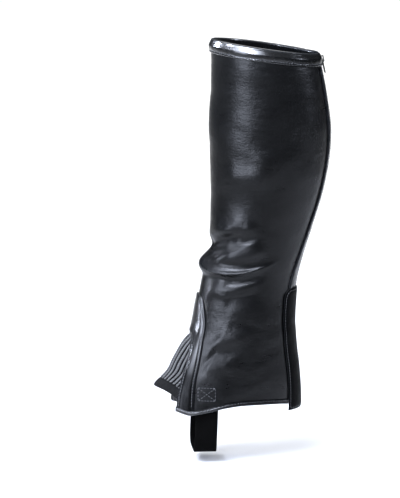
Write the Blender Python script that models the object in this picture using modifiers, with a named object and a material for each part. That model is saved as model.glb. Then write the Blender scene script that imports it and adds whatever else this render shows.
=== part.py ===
"""A leather half chap: a zipped gaiter for the leg from below the knee to the ankle.

The part keeps the hollow form that it has when worn. +Z is up, its front faces -Y and
+X is the outer side. The origin is in the middle of the hollow at the widest calf.

Every cloth piece is a wall on one form. A place on the form is (arc, height, out):
arc is the distance round from the centre front, positive on the outer side, height is Z,
and out is the distance outside the main panel's outer face. All sizes are in millimetres.
"""

import math
from collections import namedtuple
from functools import lru_cache

import bpy
import numpy as np
from mathutils import Matrix, Vector

MM = 0.001

# Walls and gaps
SEAM_GAP = 0.3
LEATHER = 2.0
THIN_LEATHER = 1.8
BINDING_WALL = 1.5
WEBBING = 1.8

# Rim and hem
RIM_SECTION = 96.0
RIM_FRONT = 104.5
RIM_BACK = 89.0
RIM_BAND_DEPTH = 15.0
RIM_BAND_INSIDE = 11.0
RIM_BAND_PUFF = 0.9
HEM_OUTSIDE = 5.5
HEM_INSIDE = 6.0
HEM_BACK = -302.0
HOLD_LAP = 4.0
HOLD_RAMP = 10.0

# Instep opening
OPENING_TOP = -179.0
ELASTIC_TOP = -223.0
PANEL_NOTCH_ROW = 2
NOTCH_LAP = 7.0
NOTCH_EASE = 14.0
RIB_PITCH = 5.2
RIB_RISE = 1.5
RIB_WAVE = (0.0, 0.3, 1.0, 0.3)
ELASTIC_WALL = 1.1
ELASTIC_LEVEL = -0.5
ELASTIC_SWELL = 2.0
ELASTIC_FLAT = 4.0
ELASTIC_RAMP = 11.0
ELASTIC_TUCK = 4.0
ELASTIC_HEM = 1.5
BAND_MIDDLE = -275.5
BAND_ARCH = 0.0058
BAND_DEPTH = 8.5
BAND_WALL = 2.6

# Zip, from the back centre outwards
ZIP_END = -300.0
CHAIN_HALF = 2.9
CHAIN_LOW = -1.8
CHAIN_HIGH = 1.2
PLACKET_EDGE = 7.0
TAPE_HALF = 16.0
TAPE_WALL = 1.0
PIPING_RADIUS = 2.1
PIPING_SIDES = 8
GUARD_TOP = -172.0
GUARD_BOTTOM = -309.0
GUARD_REAR = 4.5
GUARD_FRONT = 37.0
GUARD_LIFT = 0.4
GUARD_STATIONS = (4.5, 6.0, 8.5, 11.0, 17.0, 22.0, 27.0, 30.5, 33.5, 35.8, 37.0)
GUARD_STEPS = 11
GUARD_TOP_CORNER = (10.0, 12.0)
GUARD_BOTTOM_CORNER = (6.0, 6.0)

# Slider and pull
SLIDER_HEIGHT = 80.5
SLIDER_WIDTH = 10.6
SLIDER_LENGTH = 12.5
SLIDER_TOP = 1.9
BRIDGE_WIDTH = 2.4
BRIDGE_HALF = 3.7
BRIDGE_WALL = 1.1
BRIDGE_TOP = 5.3
HINGE_OUT = 3.0
PIN_RADIUS = 0.6
PULL_WALL = 1.2
PULL_ARM_GAP = 0.45
PULL_ARM = 1.6
PULL_WINDOW = 4.9
PULL_LENGTH = 16.0
PULL_WIDTH = 7.4

# Stirrup strap
STRAP_WIDTH = 25.0
STRAP_SIDE_VIEW = -75.0
STRAP_HELD = (-284.0, -292.0, -300.0, -308.0)
STRAP_OUT = -4.3
STRAP_LEVEL = -354.0
STRAP_LANES = 4

# Mesh
PANEL_COLUMNS = 17
FRONT_CROWDING = 0.24
CALF_ROWS = 10
FOLDS_TOP = -84.0
FOLD_ROWS = 20
LEG_ROWS = 8
ARCH_CROWDING = 1.5
ARCH_DROPS = (0.0, 0.4, 1.3, 2.8)
ELASTIC_ROWS = 6
BACK_ROWS = 17
GUARD_ROWS = 8
BAND_STATIONS = 24
FACING_COLUMNS = 5
SECTION_STEPS = 361
STEP = 0.5
SHARP_DEGREES = 65

# The outline of the main panel's outer face, one row for each level.
# front and back are Y on the centre lines. egg narrows the front and widens the back.
Section = namedtuple("Section", "height front back half_width egg")
SECTIONS = [
    Section(130, -66.2, 44.0, 56.0, 0.06),
    Section(90, -66.3, 52.0, 56.0, 0.06),
    Section(58, -66.5, 59.0, 56.0, 0.07),
    Section(22, -68.0, 65.0, 56.0, 0.08),
    Section(0, -68.5, 67.0, 55.5, 0.09),
    Section(-31, -67.7, 65.0, 54.0, 0.10),
    Section(-67, -66.6, 58.0, 50.5, 0.12),
    Section(-103, -67.0, 47.2, 45.5, 0.13),
    Section(-139, -72.5, 36.0, 41.5, 0.15),
    Section(-166, -77.0, 29.3, 40.2, 0.17),
    Section(-193, -82.3, 27.0, 40.0, 0.18),
    Section(-211, -85.5, 26.3, 40.4, 0.20),
    Section(-223, -89.0, 27.1, 40.8, 0.22),
    Section(-238, -99.0, 28.3, 41.2, 0.24),
    Section(-256, -109.0, 30.6, 41.8, 0.26),
    Section(-268, -115.0, 31.7, 42.4, 0.28),
    Section(-284, -130.0, 32.9, 43.2, 0.30),
    Section(-315, -154.0, 34.0, 43.5, 0.30),
]

# The instep seams as seen from the side: y is where the seam is at that height.
Seam = namedtuple("Seam", "height y")
FACING_SEAM = [
    Seam(-179, -79.5), Seam(-184, -76.8), Seam(-197, -74.8), Seam(-214, -74.0),
    Seam(-232, -77.2), Seam(-259, -82.3), Seam(-284, -87.0), Seam(-312, -88.8),
]
ELASTIC_SEAM = [
    Seam(-223, -89.0), Seam(-228, -88.6), Seam(-240, -91.2), Seam(-256, -95.2),
    Seam(-272, -100.2), Seam(-290, -105.2), Seam(-312, -108.4),
]

# The foot edge: height of the hem at that arc.
HemPoint = namedtuple("HemPoint", "arc height")
HEM = [
    HemPoint(40, -306), HemPoint(53, -308.5), HemPoint(72, -312.5), HemPoint(88, -309.5),
    HemPoint(104, -304), HemPoint(120, -301), HemPoint(144, -300), HemPoint(164, -300.5),
    HemPoint(182, -302), HemPoint(240, -303),
]

# The main panel's rear edge: distance from the back centre.
RearEdge = namedtuple("RearEdge", "height from_back")
REAR_EDGE = [
    RearEdge(120, 23.5), RearEdge(60, 24.0), RearEdge(0, 26.5), RearEdge(-70, 27.5),
    RearEdge(-130, 27.5), RearEdge(-172, 31.0), RearEdge(-320, 31.0),
]

# Folds of the outer side: each runs from its start through its middle to its end.
# rise is positive for a ridge and negative for a trough, upper and lower are its flanks' widths.
Fold = namedtuple("Fold", "arc0 height0 arc1 height1 arc2 height2 rise upper lower")
FOLDS = [
    Fold(10, -87, 36, -96, 60, -86, 2.0, 9, 8),
    Fold(0, -124, 28, -118, 62, -99, -5.0, 8, 8),
    Fold(28, -140, 46, -122, 74, -113, 3.2, 6, 9),
    Fold(18, -141, 58, -147, 90, -138, -2.4, 6, 5),
    Fold(0, -147, 50, -155, 96, -141, 4.3, 6, 8),
    Fold(32, -163, 60, -162, 86, -152, -2.2, 5, 5),
    Fold(24, -168, 52, -171, 80, -164, 2.4, 5.5, 6),
    Fold(36, -185, 56, -180, 84, -172, -2.0, 7, 9),
    Fold(40, -224, 58, -228, 84, -222, 1.5, 10, 9),
    Fold(44, -241, 60, -242, 82, -236, -1.3, 8, 8),
    Fold(46, -257, 62, -258, 88, -254, 1.3, 10, 10),
]
FOLD_SAMPLES = 61
FOLD_REACH = 30.0
# The inner side has like folds, lower, shorter and a little out of step.
INNER_SIDE_RISE = 0.85
INNER_SIDE_DROP = 4.0
INNER_SIDE_REACH = 0.1

# The soft band's cross section, as shares of its depth and its wall.
Spot = namedtuple("Spot", "down out")
BAND_PROFILE = [
    Spot(0.0, 0.25), Spot(0.12, 0.8), Spot(0.35, 1.0), Spot(0.65, 1.0), Spot(0.88, 0.8),
    Spot(1.0, 0.35), Spot(0.9, 0.0), Spot(0.5, 0.0), Spot(0.1, 0.0),
]

# The chain's cross section, as shares of its half width and its height.
ChainSpot = namedtuple("ChainSpot", "across up")
CHAIN_PROFILE = [
    ChainSpot(-1, 0), ChainSpot(-1, 0.55), ChainSpot(-0.55, 1), ChainSpot(0.55, 1),
    ChainSpot(1, 0.55), ChainSpot(1, 0),
]

# The free run of the stirrup strap's middle line, from the hem to its lowest point.
StrapPoint = namedtuple("StrapPoint", "x height")
STRAP_RUN = [
    StrapPoint(35.2, -319), StrapPoint(34.2, -331), StrapPoint(33.0, -342), StrapPoint(31.3, -349),
    StrapPoint(28.0, -354), StrapPoint(23.0, -356.5), StrapPoint(12.0, -357), StrapPoint(0.0, -357),
]

Finish = namedtuple("Finish", "colour roughness metallic")
FINISHES = {
    "leather": Finish((0.012, 0.013, 0.016), 0.38, 0.0),
    "elastic": Finish((0.018, 0.018, 0.020), 0.85, 0.0),
    "webbing": Finish((0.008, 0.008, 0.009), 0.9, 0.0),
    "zip": Finish((0.010, 0.010, 0.011), 0.5, 0.0),
    "metal": Finish((0.10, 0.10, 0.11), 0.35, 1.0),
}


def lerp(a, b, t):
    return a + (b - a) * t


def smoothstep(t):
    t = min(1.0, max(0.0, t))
    return t * t * (3 - 2 * t)


def smooth_read(rows, key, value, at):
    """Read a table's column at a place between its rows, along a smooth curve."""
    keys = [getattr(row, key) for row in rows]
    values = [getattr(row, value) for row in rows]
    if keys[0] > keys[-1]:
        keys.reverse()
        values.reverse()
    at = min(keys[-1], max(keys[0], at))
    i = min(len(keys) - 2, max(0, int(np.searchsorted(keys, at)) - 1))

    def slope(k):
        a, b = max(0, k - 1), min(len(keys) - 1, k + 1)
        return (values[b] - values[a]) / (keys[b] - keys[a])

    span = keys[i + 1] - keys[i]
    t = (at - keys[i]) / span
    bend_in = slope(i) * span * t * (1 - t) ** 2
    bend_out = slope(i + 1) * span * t * t * (1 - t)
    return values[i] + (values[i + 1] - values[i]) * t * t * (3 - 2 * t) + bend_in - bend_out


@lru_cache(maxsize=None)
def section_at(height):
    columns = ("front", "back", "half_width", "egg")
    return tuple(smooth_read(SECTIONS, "height", column, height) for column in columns)


@lru_cache(maxsize=None)
def half_section(height):
    """x, y and arc along one side of the form at a height, from front to back."""
    front, back, half_width, egg = section_at(height)
    angle = np.linspace(0, math.pi, SECTION_STEPS)
    x = half_width * np.sin(angle) * (1 - egg * np.cos(angle))
    y = (front + back) / 2 - (back - front) / 2 * np.cos(angle)
    arc = np.concatenate(([0], np.cumsum(np.hypot(np.diff(x), np.diff(y)))))
    return x, y, arc


def half_girth(height):
    return half_section(height)[2][-1]


def base_point(arc, height):
    x, y, arcs = half_section(height)
    girth = arcs[-1]
    if abs(arc) > girth:
        arc = arc - math.copysign(2 * girth, arc)
    side = 1 if arc >= 0 else -1
    return Vector((side * float(np.interp(abs(arc), arcs, x)), float(np.interp(abs(arc), arcs, y)), height))


def fold_lines():
    """Every fold as points along its curve, its rise along it and its two flanks."""
    lines = []
    for side in (1, -1):
        for number, fold in enumerate(FOLDS):
            drop = 0 if side > 0 else INNER_SIDE_DROP * math.sin(2.1 * number)
            reach = 1 if side > 0 else 1 - INNER_SIDE_REACH + INNER_SIDE_REACH * math.cos(1.7 * number)
            rise = fold.rise if side > 0 else fold.rise * INNER_SIDE_RISE
            t = np.linspace(0, 1, FOLD_SAMPLES)
            first, middle, last = (2 * t - 1) * (t - 1), 4 * t * (1 - t), t * (2 * t - 1)
            arc = (fold.arc0 * first + fold.arc1 * middle + fold.arc2 * last) * reach * side
            height = fold.height0 * first + fold.height1 * middle + fold.height2 * last - drop
            fade = np.array([smoothstep((v + 0.15) / 0.3) * smoothstep((1.05 - v) / 0.4) for v in t])
            lines.append((arc, height, rise * fade, fold.upper, fold.lower))
    return lines


FOLD_LINES = fold_lines()


def fold_rise(arc, height):
    total = 0.0
    for arcs, heights, rises, upper, lower in FOLD_LINES:
        distance = (arcs - arc) ** 2 + (heights - height) ** 2
        nearest = int(np.argmin(distance))
        if distance[nearest] > FOLD_REACH ** 2:
            continue
        above = (height - heights[nearest]) / max(math.sqrt(distance[nearest]), 0.001)
        flank = lerp(lower, upper, (1 + above) / 2)
        total += rises[nearest] * math.exp(-distance[nearest] / flank ** 2)
    return total


@lru_cache(maxsize=None)
def form_point(arc, height):
    """A point of the main panel's outer face and the way out from it."""
    along = base_point(arc + STEP, height) - base_point(arc - STEP, height)
    up = base_point(arc, height + STEP) - base_point(arc, height - STEP)
    outward = along.cross(up).normalized()
    return base_point(arc, height) + outward * fold_rise(arc, height), outward


def place(arc, height, out):
    point, outward = form_point(round(arc, 4), round(height, 4))
    return (point + outward * out) * MM


def place_from_back(from_back, height, out):
    """from_back is positive on the outer side and negative on the inner side."""
    side = 1 if from_back >= 0 else -1
    return place(side * (half_girth(round(height, 4)) - abs(from_back)), height, out)


def side_view_arc(y, height):
    """Arc of the place that has this Y at this height."""
    front, back = section_at(round(height, 4))[:2]
    middle, reach = (front + back) / 2, (back - front) / 2
    cosine = min(1.0, (middle - y) / reach)
    angle = np.linspace(0, math.pi, SECTION_STEPS)
    return float(np.interp(math.acos(cosine), angle, half_section(round(height, 4))[2]))


def facing_outer(height):
    return side_view_arc(smooth_read(FACING_SEAM, "height", "y", height), height)


def facing_inner(height):
    return side_view_arc(smooth_read(ELASTIC_SEAM, "height", "y", height), height)


def rear_edge(height):
    return half_girth(round(height, 4)) - smooth_read(REAR_EDGE, "height", "from_back", height)


def rim_height(arc):
    """The rim lies in a plane that falls from the front to the back."""
    front, back = section_at(RIM_SECTION)[:2]
    y = base_point(arc, RIM_SECTION).y
    return lerp(RIM_FRONT, RIM_BACK, (y - front) / (back - front))


def hem_height(arc):
    return smooth_read(HEM, "arc", "height", abs(arc))


def meet(arc_of, height_of, start):
    """Height where a column, whose arc changes with height, meets an edge."""
    height = start
    for _ in range(12):
        height = height_of(arc_of(height))
    return height


# Meshes

def make_object(name, finish, points, faces):
    mesh = bpy.data.meshes.new(name)
    mesh.from_pydata([tuple(point) for point in points], [], faces)
    mesh.validate()
    mesh.shade_smooth()
    mesh.set_sharp_from_angle(angle=math.radians(SHARP_DEGREES))
    mesh.materials.append(material(finish))
    thing = bpy.data.objects.new(name, mesh)
    PARTS.objects.link(thing)
    return thing


def material(finish):
    made = bpy.data.materials.get(finish)
    if made is None:
        made = bpy.data.materials.new(finish)
        made.use_nodes = True
        shader = made.node_tree.nodes["Principled BSDF"]
        look = FINISHES[finish]
        shader.inputs["Base Color"].default_value = (*look.colour, 1)
        shader.inputs["Roughness"].default_value = look.roughness
        shader.inputs["Metallic"].default_value = look.metallic
    return made


def wall(name, finish, patches):
    """A closed wall from patches, each a grid of (outer point, inner point) pairs.

    Patches share points along their common edges. A row that comes to one point is allowed.
    """
    outer, inner, numbers, faces = [], [], {}, []
    for patch in patches:
        rows = []
        for row in patch:
            ids = []
            for out_point, in_point in row:
                key = tuple(round(value, 7) for value in out_point)
                if key not in numbers:
                    numbers[key] = len(outer)
                    outer.append(out_point)
                    inner.append(in_point)
                ids.append(numbers[key])
            rows.append(ids)
        for upper, lower in zip(rows, rows[1:]):
            for a, b, c, d in zip(upper, lower, lower[1:], upper[1:]):
                face = list(dict.fromkeys((a, b, c, d)))
                if len(face) > 2:
                    faces.append(face)
    count = len(outer)
    edges = {(a, b) for face in faces for a, b in zip(face, face[1:] + face[:1])}
    rim = [(b, a, a + count, b + count) for a, b in sorted(edges) if (b, a) not in edges]
    backs = [[number + count for number in reversed(face)] for face in faces]
    return make_object(name, finish, outer + inner, faces + backs + rim)


def sweep(name, finish, rings):
    """A closed solid through rings of equally many points, capped at both ends."""
    size = len(rings[0])
    points = [point for ring in rings for point in ring]
    faces = []
    for r in range(len(rings) - 1):
        for k in range(size):
            a, b = r * size + k, r * size + (k + 1) % size
            faces.append((a, b, b + size, a + size))
    faces.append(tuple(reversed(range(size))))
    faces.append(tuple(range(len(points) - size, len(points))))
    return make_object(name, finish, points, faces)


def sided(row, side):
    """A row of places for one side: grids run from the inner side to the outer side."""
    return row if side > 0 else list(reversed(row))


# Rows of the panels: heights of a column from the rim to the hem

def upper_heights(rim):
    heights = [lerp(rim, FOLDS_TOP, k / CALF_ROWS) for k in range(CALF_ROWS + 1)]
    heights += [lerp(FOLDS_TOP, OPENING_TOP, k / FOLD_ROWS) for k in range(1, FOLD_ROWS + 1)]
    return heights


def opening_heights():
    return [lerp(OPENING_TOP, ELASTIC_TOP, k / LEG_ROWS) for k in range(LEG_ROWS + 1)]


def foot_heights(hem):
    """Rows lie closer together at the top, where the opening's arch is tight."""
    return [lerp(ELASTIC_TOP, hem, (k / LEG_ROWS) ** ARCH_CROWDING) for k in range(LEG_ROWS + 1)]


def panel_fractions():
    """The main panel's columns, closer together at the front, where the folds are."""
    steps = [k / PANEL_COLUMNS for k in range(PANEL_COLUMNS + 1)]
    return [lerp(step, step * step, FRONT_CROWDING) for step in steps]


def notch_arc(height):
    """The main panel's cut edge, hidden under the facing."""
    top = opening_heights()[PANEL_NOTCH_ROW]
    if height >= top:
        return 0.0
    ease = math.sqrt(min(1.0, (top - height) / NOTCH_EASE))
    return (facing_outer(height) - NOTCH_LAP) * ease


def main_panel():
    """One piece of leather round the leg, with its instep cut away."""
    edge_lift = BINDING_WALL + SEAM_GAP
    notch_top = opening_heights()[PANEL_NOTCH_ROW]

    def pair(arc, height):
        return place(arc, height, 0), place(arc, height, -LEATHER)

    def column(fraction, side):
        def arc_of(height):
            return lerp(notch_arc(height), rear_edge(height), fraction)

        rim = meet(arc_of, rim_height, RIM_BACK) - edge_lift
        hem = meet(arc_of, hem_height, HEM[0].height) + edge_lift
        heights = upper_heights(rim)[:-1] + opening_heights()[:-1] + foot_heights(hem)
        return [pair(side * arc_of(height), height) for height in heights]

    columns = {side: [column(f, side) for f in panel_fractions()] for side in (1, -1)}
    split = sum(1 for height in upper_heights(RIM_BACK)[:-1] + opening_heights() if height > notch_top - STEP)
    rows = len(columns[1][0])
    whole = []
    for r in range(split):
        whole.append([c[r] for c in reversed(columns[-1])] + [c[r] for c in columns[1][1:]])
    legs = []
    for side in (1, -1):
        legs.append([sided([c[r] for c in columns[side]], side) for r in range(split - 1, rows)])
    wall("main_panel", "leather", [whole] + legs)


def gusset_facing():
    """The strip round the instep opening, laid over the main panel's cut edge."""
    low, high = SEAM_GAP, SEAM_GAP + THIN_LEATHER
    columns = FACING_COLUMNS

    def pair(arc, height):
        return place(arc, height, high), place(arc, height, low)

    arch = []
    arch_rows = [OPENING_TOP - drop for drop in ARCH_DROPS] + opening_heights()[1:]
    for height in arch_rows:
        reach = facing_outer(height)
        arch.append([pair(reach * k / columns, height) for k in range(-columns, columns + 1)])
    legs = []
    for side in (1, -1):
        strips = []
        for k in range(columns + 1):
            def arc_of(height, k=k):
                return lerp(facing_inner(height), facing_outer(height), k / columns)

            hem = meet(arc_of, hem_height, HEM[0].height) + BINDING_WALL + SEAM_GAP
            strips.append([pair(side * arc_of(height), height) for height in foot_heights(hem)])
        legs.append([sided([strip[r] for strip in strips], side) for r in range(LEG_ROWS + 1)])
    wall("gusset_facing", "leather", [arch] + legs)


def band_top(arc):
    """The lower end of the elastic, a shallow arch over the instep."""
    return BAND_MIDDLE - BAND_ARCH * arc * arc


def elastic_top(arc):
    """Height where the elastic's hidden edge, a little under the facing, has this arc."""
    heights = np.linspace(ELASTIC_TOP + ELASTIC_TUCK, -300, 155)
    arcs = [elastic_edge(float(height)) for height in heights]
    return float(np.interp(abs(arc), arcs, heights))


@lru_cache(maxsize=None)
def elastic_edge(height):
    ease = smoothstep((ELASTIC_TOP + ELASTIC_TUCK - height) / ELASTIC_TUCK)
    return facing_inner(min(height, ELASTIC_TOP)) + ELASTIC_TUCK * ease


def elastic_level(arc, height):
    """The elastic dips under the facing and swells between its two legs."""
    from_edge = facing_inner(min(height, ELASTIC_TOP)) - abs(arc)
    return ELASTIC_LEVEL + ELASTIC_SWELL * smoothstep((from_edge - ELASTIC_FLAT) / ELASTIC_RAMP)


def front_gusset():
    """Shirred elastic: ribs along the centre front line, raised over a plain inside."""
    reach = elastic_reach()
    steps = int(reach / RIB_PITCH * len(RIB_WAVE))
    arcs = [k * RIB_PITCH / len(RIB_WAVE) for k in range(-steps, steps + 1)]
    if reach - arcs[-1] < 0.3:
        arcs = arcs[1:-1]
        steps -= 1

    def pair(arc, height, number):
        level = elastic_level(arc, height)
        groove = RIB_RISE * RIB_WAVE[abs(number) % len(RIB_WAVE)] * (abs(arc) <= reach - ELASTIC_HEM)
        return place(arc, height, level - groove), place(arc, height, level - RIB_RISE - ELASTIC_WALL)

    columns = []
    for number, arc in zip(range(-steps, steps + 1), arcs):
        top, bottom = elastic_top(arc), band_top(arc)
        if top - bottom < 0.5:
            continue
        heights = [lerp(top, bottom, (r / ELASTIC_ROWS) ** ARCH_CROWDING) for r in range(ELASTIC_ROWS + 1)]
        columns.append([pair(arc, height, number) for height in heights])
    grid = [[column[r] for column in columns] for r in range(ELASTIC_ROWS + 1)]
    wall("front_gusset", "elastic", [grid])


def elastic_reach():
    """Arc of the elastic's lower corner."""
    def edge_at(height):
        return elastic_edge(round(height, 4))

    return edge_at(meet(edge_at, band_top, BAND_MIDDLE))


def gusset_band():
    """The soft band across the elastic's lower end."""
    reach = elastic_reach() - ELASTIC_HEM
    rings = []
    for k in range(BAND_STATIONS + 1):
        arc = lerp(-reach, reach, k / BAND_STATIONS)
        top = band_top(arc) - SEAM_GAP
        inside = elastic_level(arc, top) - BAND_WALL
        rings.append([place(arc, top - BAND_DEPTH * spot.down, inside + BAND_WALL * spot.out)
                      for spot in BAND_PROFILE])
    sweep("gusset_band", "elastic", rings)


def fold_over(name, stations, edge_height, sign, outside, inside, hold, puff=0.0):
    """Leather folded over an edge. sign is 1 over the top edge and -1 under the foot edge.

    Each station is a side and a function that gives its arc at a height.
    """
    inner_face = -LEATHER - SEAM_GAP
    inside_rows, turn, outside_rows = 2, 4, 4
    rows = []
    for side, arc_of in stations:
        edge = meet(arc_of, edge_height, edge_height(0))
        high = hold(arc_of(edge))
        middle, radius = (high + inner_face) / 2, (high - inner_face) / 2
        pairs = []
        for k in range(inside_rows):
            depth = lerp(inside, BINDING_WALL, k / inside_rows)
            pairs.append((depth, inner_face - BINDING_WALL, inner_face))
        for k in range(turn + 1):
            angle = math.pi * k / turn
            bend = BINDING_WALL * (1 - math.sin(angle))
            pairs.append((bend, middle - (radius + BINDING_WALL) * math.cos(angle),
                          middle - radius * math.cos(angle)))
        for k in range(1, outside_rows + 1):
            depth = lerp(BINDING_WALL, outside, k / outside_rows)
            swell = puff * math.sin(math.pi * k / outside_rows)
            pairs.append((depth, high + BINDING_WALL + swell, high))
        row = []
        for depth, out_face, in_face in pairs:
            outer_height = edge - sign * depth
            inner_height = edge - sign * max(depth, BINDING_WALL)
            row.append((place(side * arc_of(outer_height), outer_height, out_face),
                        place(side * arc_of(inner_height), inner_height, in_face)))
        rows.append(row)
    if sign > 0:
        rows.reverse()
    wall(name, "leather", [rows])


def top_binding():
    """The band follows the main panel's columns, then the plackets to the zip."""
    placket_steps = 3

    def panel_column(fraction):
        return lambda height: rear_edge(height) * fraction

    def placket_column(fraction):
        return lambda height: lerp(rear_edge(height), half_girth(round(height, 4)) - PLACKET_EDGE, fraction)

    half = [panel_column(fraction) for fraction in panel_fractions()]
    half += [placket_column(k / placket_steps) for k in range(1, placket_steps + 1)]
    stations = [(-1, arc_of) for arc_of in reversed(half)] + [(1, arc_of) for arc_of in half[1:]]
    fold_over("top_binding", stations, rim_height, 1, RIM_BAND_DEPTH, RIM_BAND_INSIDE,
              lambda arc: SEAM_GAP, RIM_BAND_PUFF)


def hem_binding(name, side):
    """The rolled foot edge. It is thicker where it also holds the facing."""
    panel_steps = 9
    facing_end = facing_outer(meet(facing_outer, hem_height, HEM[0].height))

    def facing_column(fraction):
        return lambda height: lerp(facing_inner(height), facing_outer(height), fraction)

    def panel_column(fraction):
        def arc_of(height):
            rear = half_girth(round(height, 4)) - GUARD_FRONT - SEAM_GAP
            return lerp(facing_outer(height), rear, fraction)
        return arc_of

    def hold(arc):
        over_facing = 1 - smoothstep((arc - facing_end - HOLD_LAP) / HOLD_RAMP)
        return SEAM_GAP + (THIN_LEATHER + SEAM_GAP) * over_facing

    columns = [facing_column(k / FACING_COLUMNS) for k in range(FACING_COLUMNS + 1)]
    columns += [panel_column(k / panel_steps) for k in range(1, panel_steps + 1)]
    stations = sided([(side, column) for column in columns], side)
    fold_over(name, stations, hem_height, -1, HEM_OUTSIDE, HEM_INSIDE, hold)


def back_heights(low):
    """Rows of the narrow pieces at the back, with a break where the guards begin."""
    rim = RIM_BACK - BINDING_WALL - SEAM_GAP
    heights = [lerp(rim, GUARD_TOP, k / BACK_ROWS) for k in range(BACK_ROWS + 1)]
    heights += [lerp(GUARD_TOP - 1, low, k / GUARD_ROWS) for k in range(GUARD_ROWS + 1)]
    return heights


def rear_placket(name, side):
    """The strip between the piping and the zip. Below the piping it reaches the main panel."""
    rows = []
    piping_room = 2 * PIPING_RADIUS + 2 * SEAM_GAP
    for height in back_heights(HEM_BACK):
        rear = smooth_read(REAR_EDGE, "height", "from_back", height)
        front = rear - (piping_room if height >= GUARD_TOP else SEAM_GAP)
        row = []
        for k in range(4):
            from_back = side * lerp(front, PLACKET_EDGE, k / 3)
            row.append((place_from_back(from_back, height, 0),
                        place_from_back(from_back, height, -THIN_LEATHER)))
        rows.append(sided(row, side))
    wall(name, "leather", [rows])


def piping(name, side):
    """A piped roll along the main panel's rear edge."""
    rings = []
    top = RIM_BACK - RIM_BAND_DEPTH - SEAM_GAP
    heights = [top] + [h for h in back_heights(HEM_BACK) if GUARD_TOP + 1 < h < top - 4]
    heights.append(GUARD_TOP + SEAM_GAP)
    for height in heights:
        rear = smooth_read(REAR_EDGE, "height", "from_back", height)
        middle = rear - PIPING_RADIUS - SEAM_GAP
        ring = []
        for k in range(PIPING_SIDES):
            angle = 2 * math.pi * k / PIPING_SIDES
            ring.append(place_from_back(side * (middle - PIPING_RADIUS * math.cos(angle)), height,
                                        0.2 + PIPING_RADIUS * math.sin(angle)))
        rings.append(ring if side > 0 else list(reversed(ring)))
    sweep(name, "leather", rings)


def zip_tape():
    """The tapes are sewn behind the plackets, and stand free between the ends of the rim band."""
    band_end = RIM_BACK - RIM_BAND_INSIDE - SEAM_GAP
    below = back_heights(ZIP_END)
    heights = [below[0], band_end] + [band_end - 1] + [h for h in below if h < band_end - 4]
    high = -THIN_LEATHER - SEAM_GAP
    rows = []
    for height in heights:
        half = TAPE_HALF if height < band_end else PLACKET_EDGE - SEAM_GAP
        row = []
        for across in (-1, -0.5, 0, 0.5, 1):
            from_back = across * half
            row.append((place_from_back(from_back, height, high),
                        place_from_back(from_back, height, high - TAPE_WALL)))
        rows.append(list(reversed(row)))
    wall("zip_tape", "zip", [rows])


def zip_chain():
    """The closed chain, a low bar with bevelled edges on its tapes."""
    top = SLIDER_HEIGHT - SLIDER_LENGTH / 2 - SEAM_GAP
    heights = [top] + [h for h in back_heights(ZIP_END) if h < top - 4]
    rings = []
    for height in heights:
        rings.append([place_from_back(spot.across * CHAIN_HALF, height, lerp(CHAIN_LOW, CHAIN_HIGH, spot.up))
                      for spot in CHAIN_PROFILE])
    sweep("zip_chain", "zip", rings)


def slider_frame():
    """Matrix at the slider: X across the zip, Y out of the leg, Z up along the chain."""
    _, outward = form_point(round(half_girth(SLIDER_HEIGHT), 4), SLIDER_HEIGHT)
    across = Vector((1, 0, 0))
    out = (outward - across * outward.dot(across)).normalized()
    along = across.cross(out)
    turn = Matrix((across, out, along)).transposed().to_4x4()
    return Matrix.Translation(place(half_girth(SLIDER_HEIGHT), SLIDER_HEIGHT, 0)) @ turn


def block(size, centre, bevel=0.0, name="block"):
    """A cuboid in the slider's frame, made from the cube primitive."""
    bpy.ops.mesh.primitive_cube_add(size=1)
    thing = bpy.context.object
    thing.name = name
    thing.data.transform(Matrix.Diagonal((*(value * MM for value in size), 1)))
    thing.data.transform(Matrix.Translation(Vector(centre) * MM))
    if bevel:
        rounding = thing.modifiers.new("rounding", "BEVEL")
        rounding.width = bevel * MM
        rounding.segments = 2
    return thing


def collect(thing, name, finish, frame):
    for collection in list(thing.users_collection):
        collection.objects.unlink(thing)
    PARTS.objects.link(thing)
    thing.name = name
    thing.data.materials.clear()
    thing.data.materials.append(material(finish))
    thing.matrix_world = frame


def join_cut(target, other, operation):
    """Boolean with another solid, which then stays as a hidden tool."""
    step = target.modifiers.new(operation.lower(), "BOOLEAN")
    step.operation = operation
    step.object = other
    for collection in list(other.users_collection):
        collection.objects.unlink(other)
    TOOLS.objects.link(other)
    other.hide_render = True
    other.display_type = "WIRE"


def zip_slider(frame):
    """A shield-shaped body with a bridge that holds the pull."""
    low = CHAIN_LOW
    body = block((SLIDER_WIDTH, SLIDER_TOP - low, SLIDER_LENGTH), (0, (SLIDER_TOP + low) / 2, 0))
    for vertex in body.data.vertices:
        if vertex.co.z < 0:
            vertex.co.x *= 0.74
    rounding = body.modifiers.new("rounding", "BEVEL")
    rounding.width = 0.8 * MM
    rounding.segments = 2
    bridge_low = SLIDER_TOP - 0.8
    bridge = block((BRIDGE_WIDTH, BRIDGE_TOP - bridge_low, 2 * BRIDGE_HALF),
                   (0, (BRIDGE_TOP + bridge_low) / 2, 0), 0.5)
    window_low = SLIDER_TOP + 0.15
    window_high = BRIDGE_TOP - BRIDGE_WALL
    window = block((BRIDGE_WIDTH * 2, window_high - window_low, 2 * (BRIDGE_HALF - BRIDGE_WALL)),
                   (0, (window_high + window_low) / 2, 0))
    for tool, operation in ((bridge, "UNION"), (window, "DIFFERENCE")):
        join_cut(body, tool, operation)
        tool.matrix_world = frame
    collect(body, "zip_slider", "metal", frame)


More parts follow.
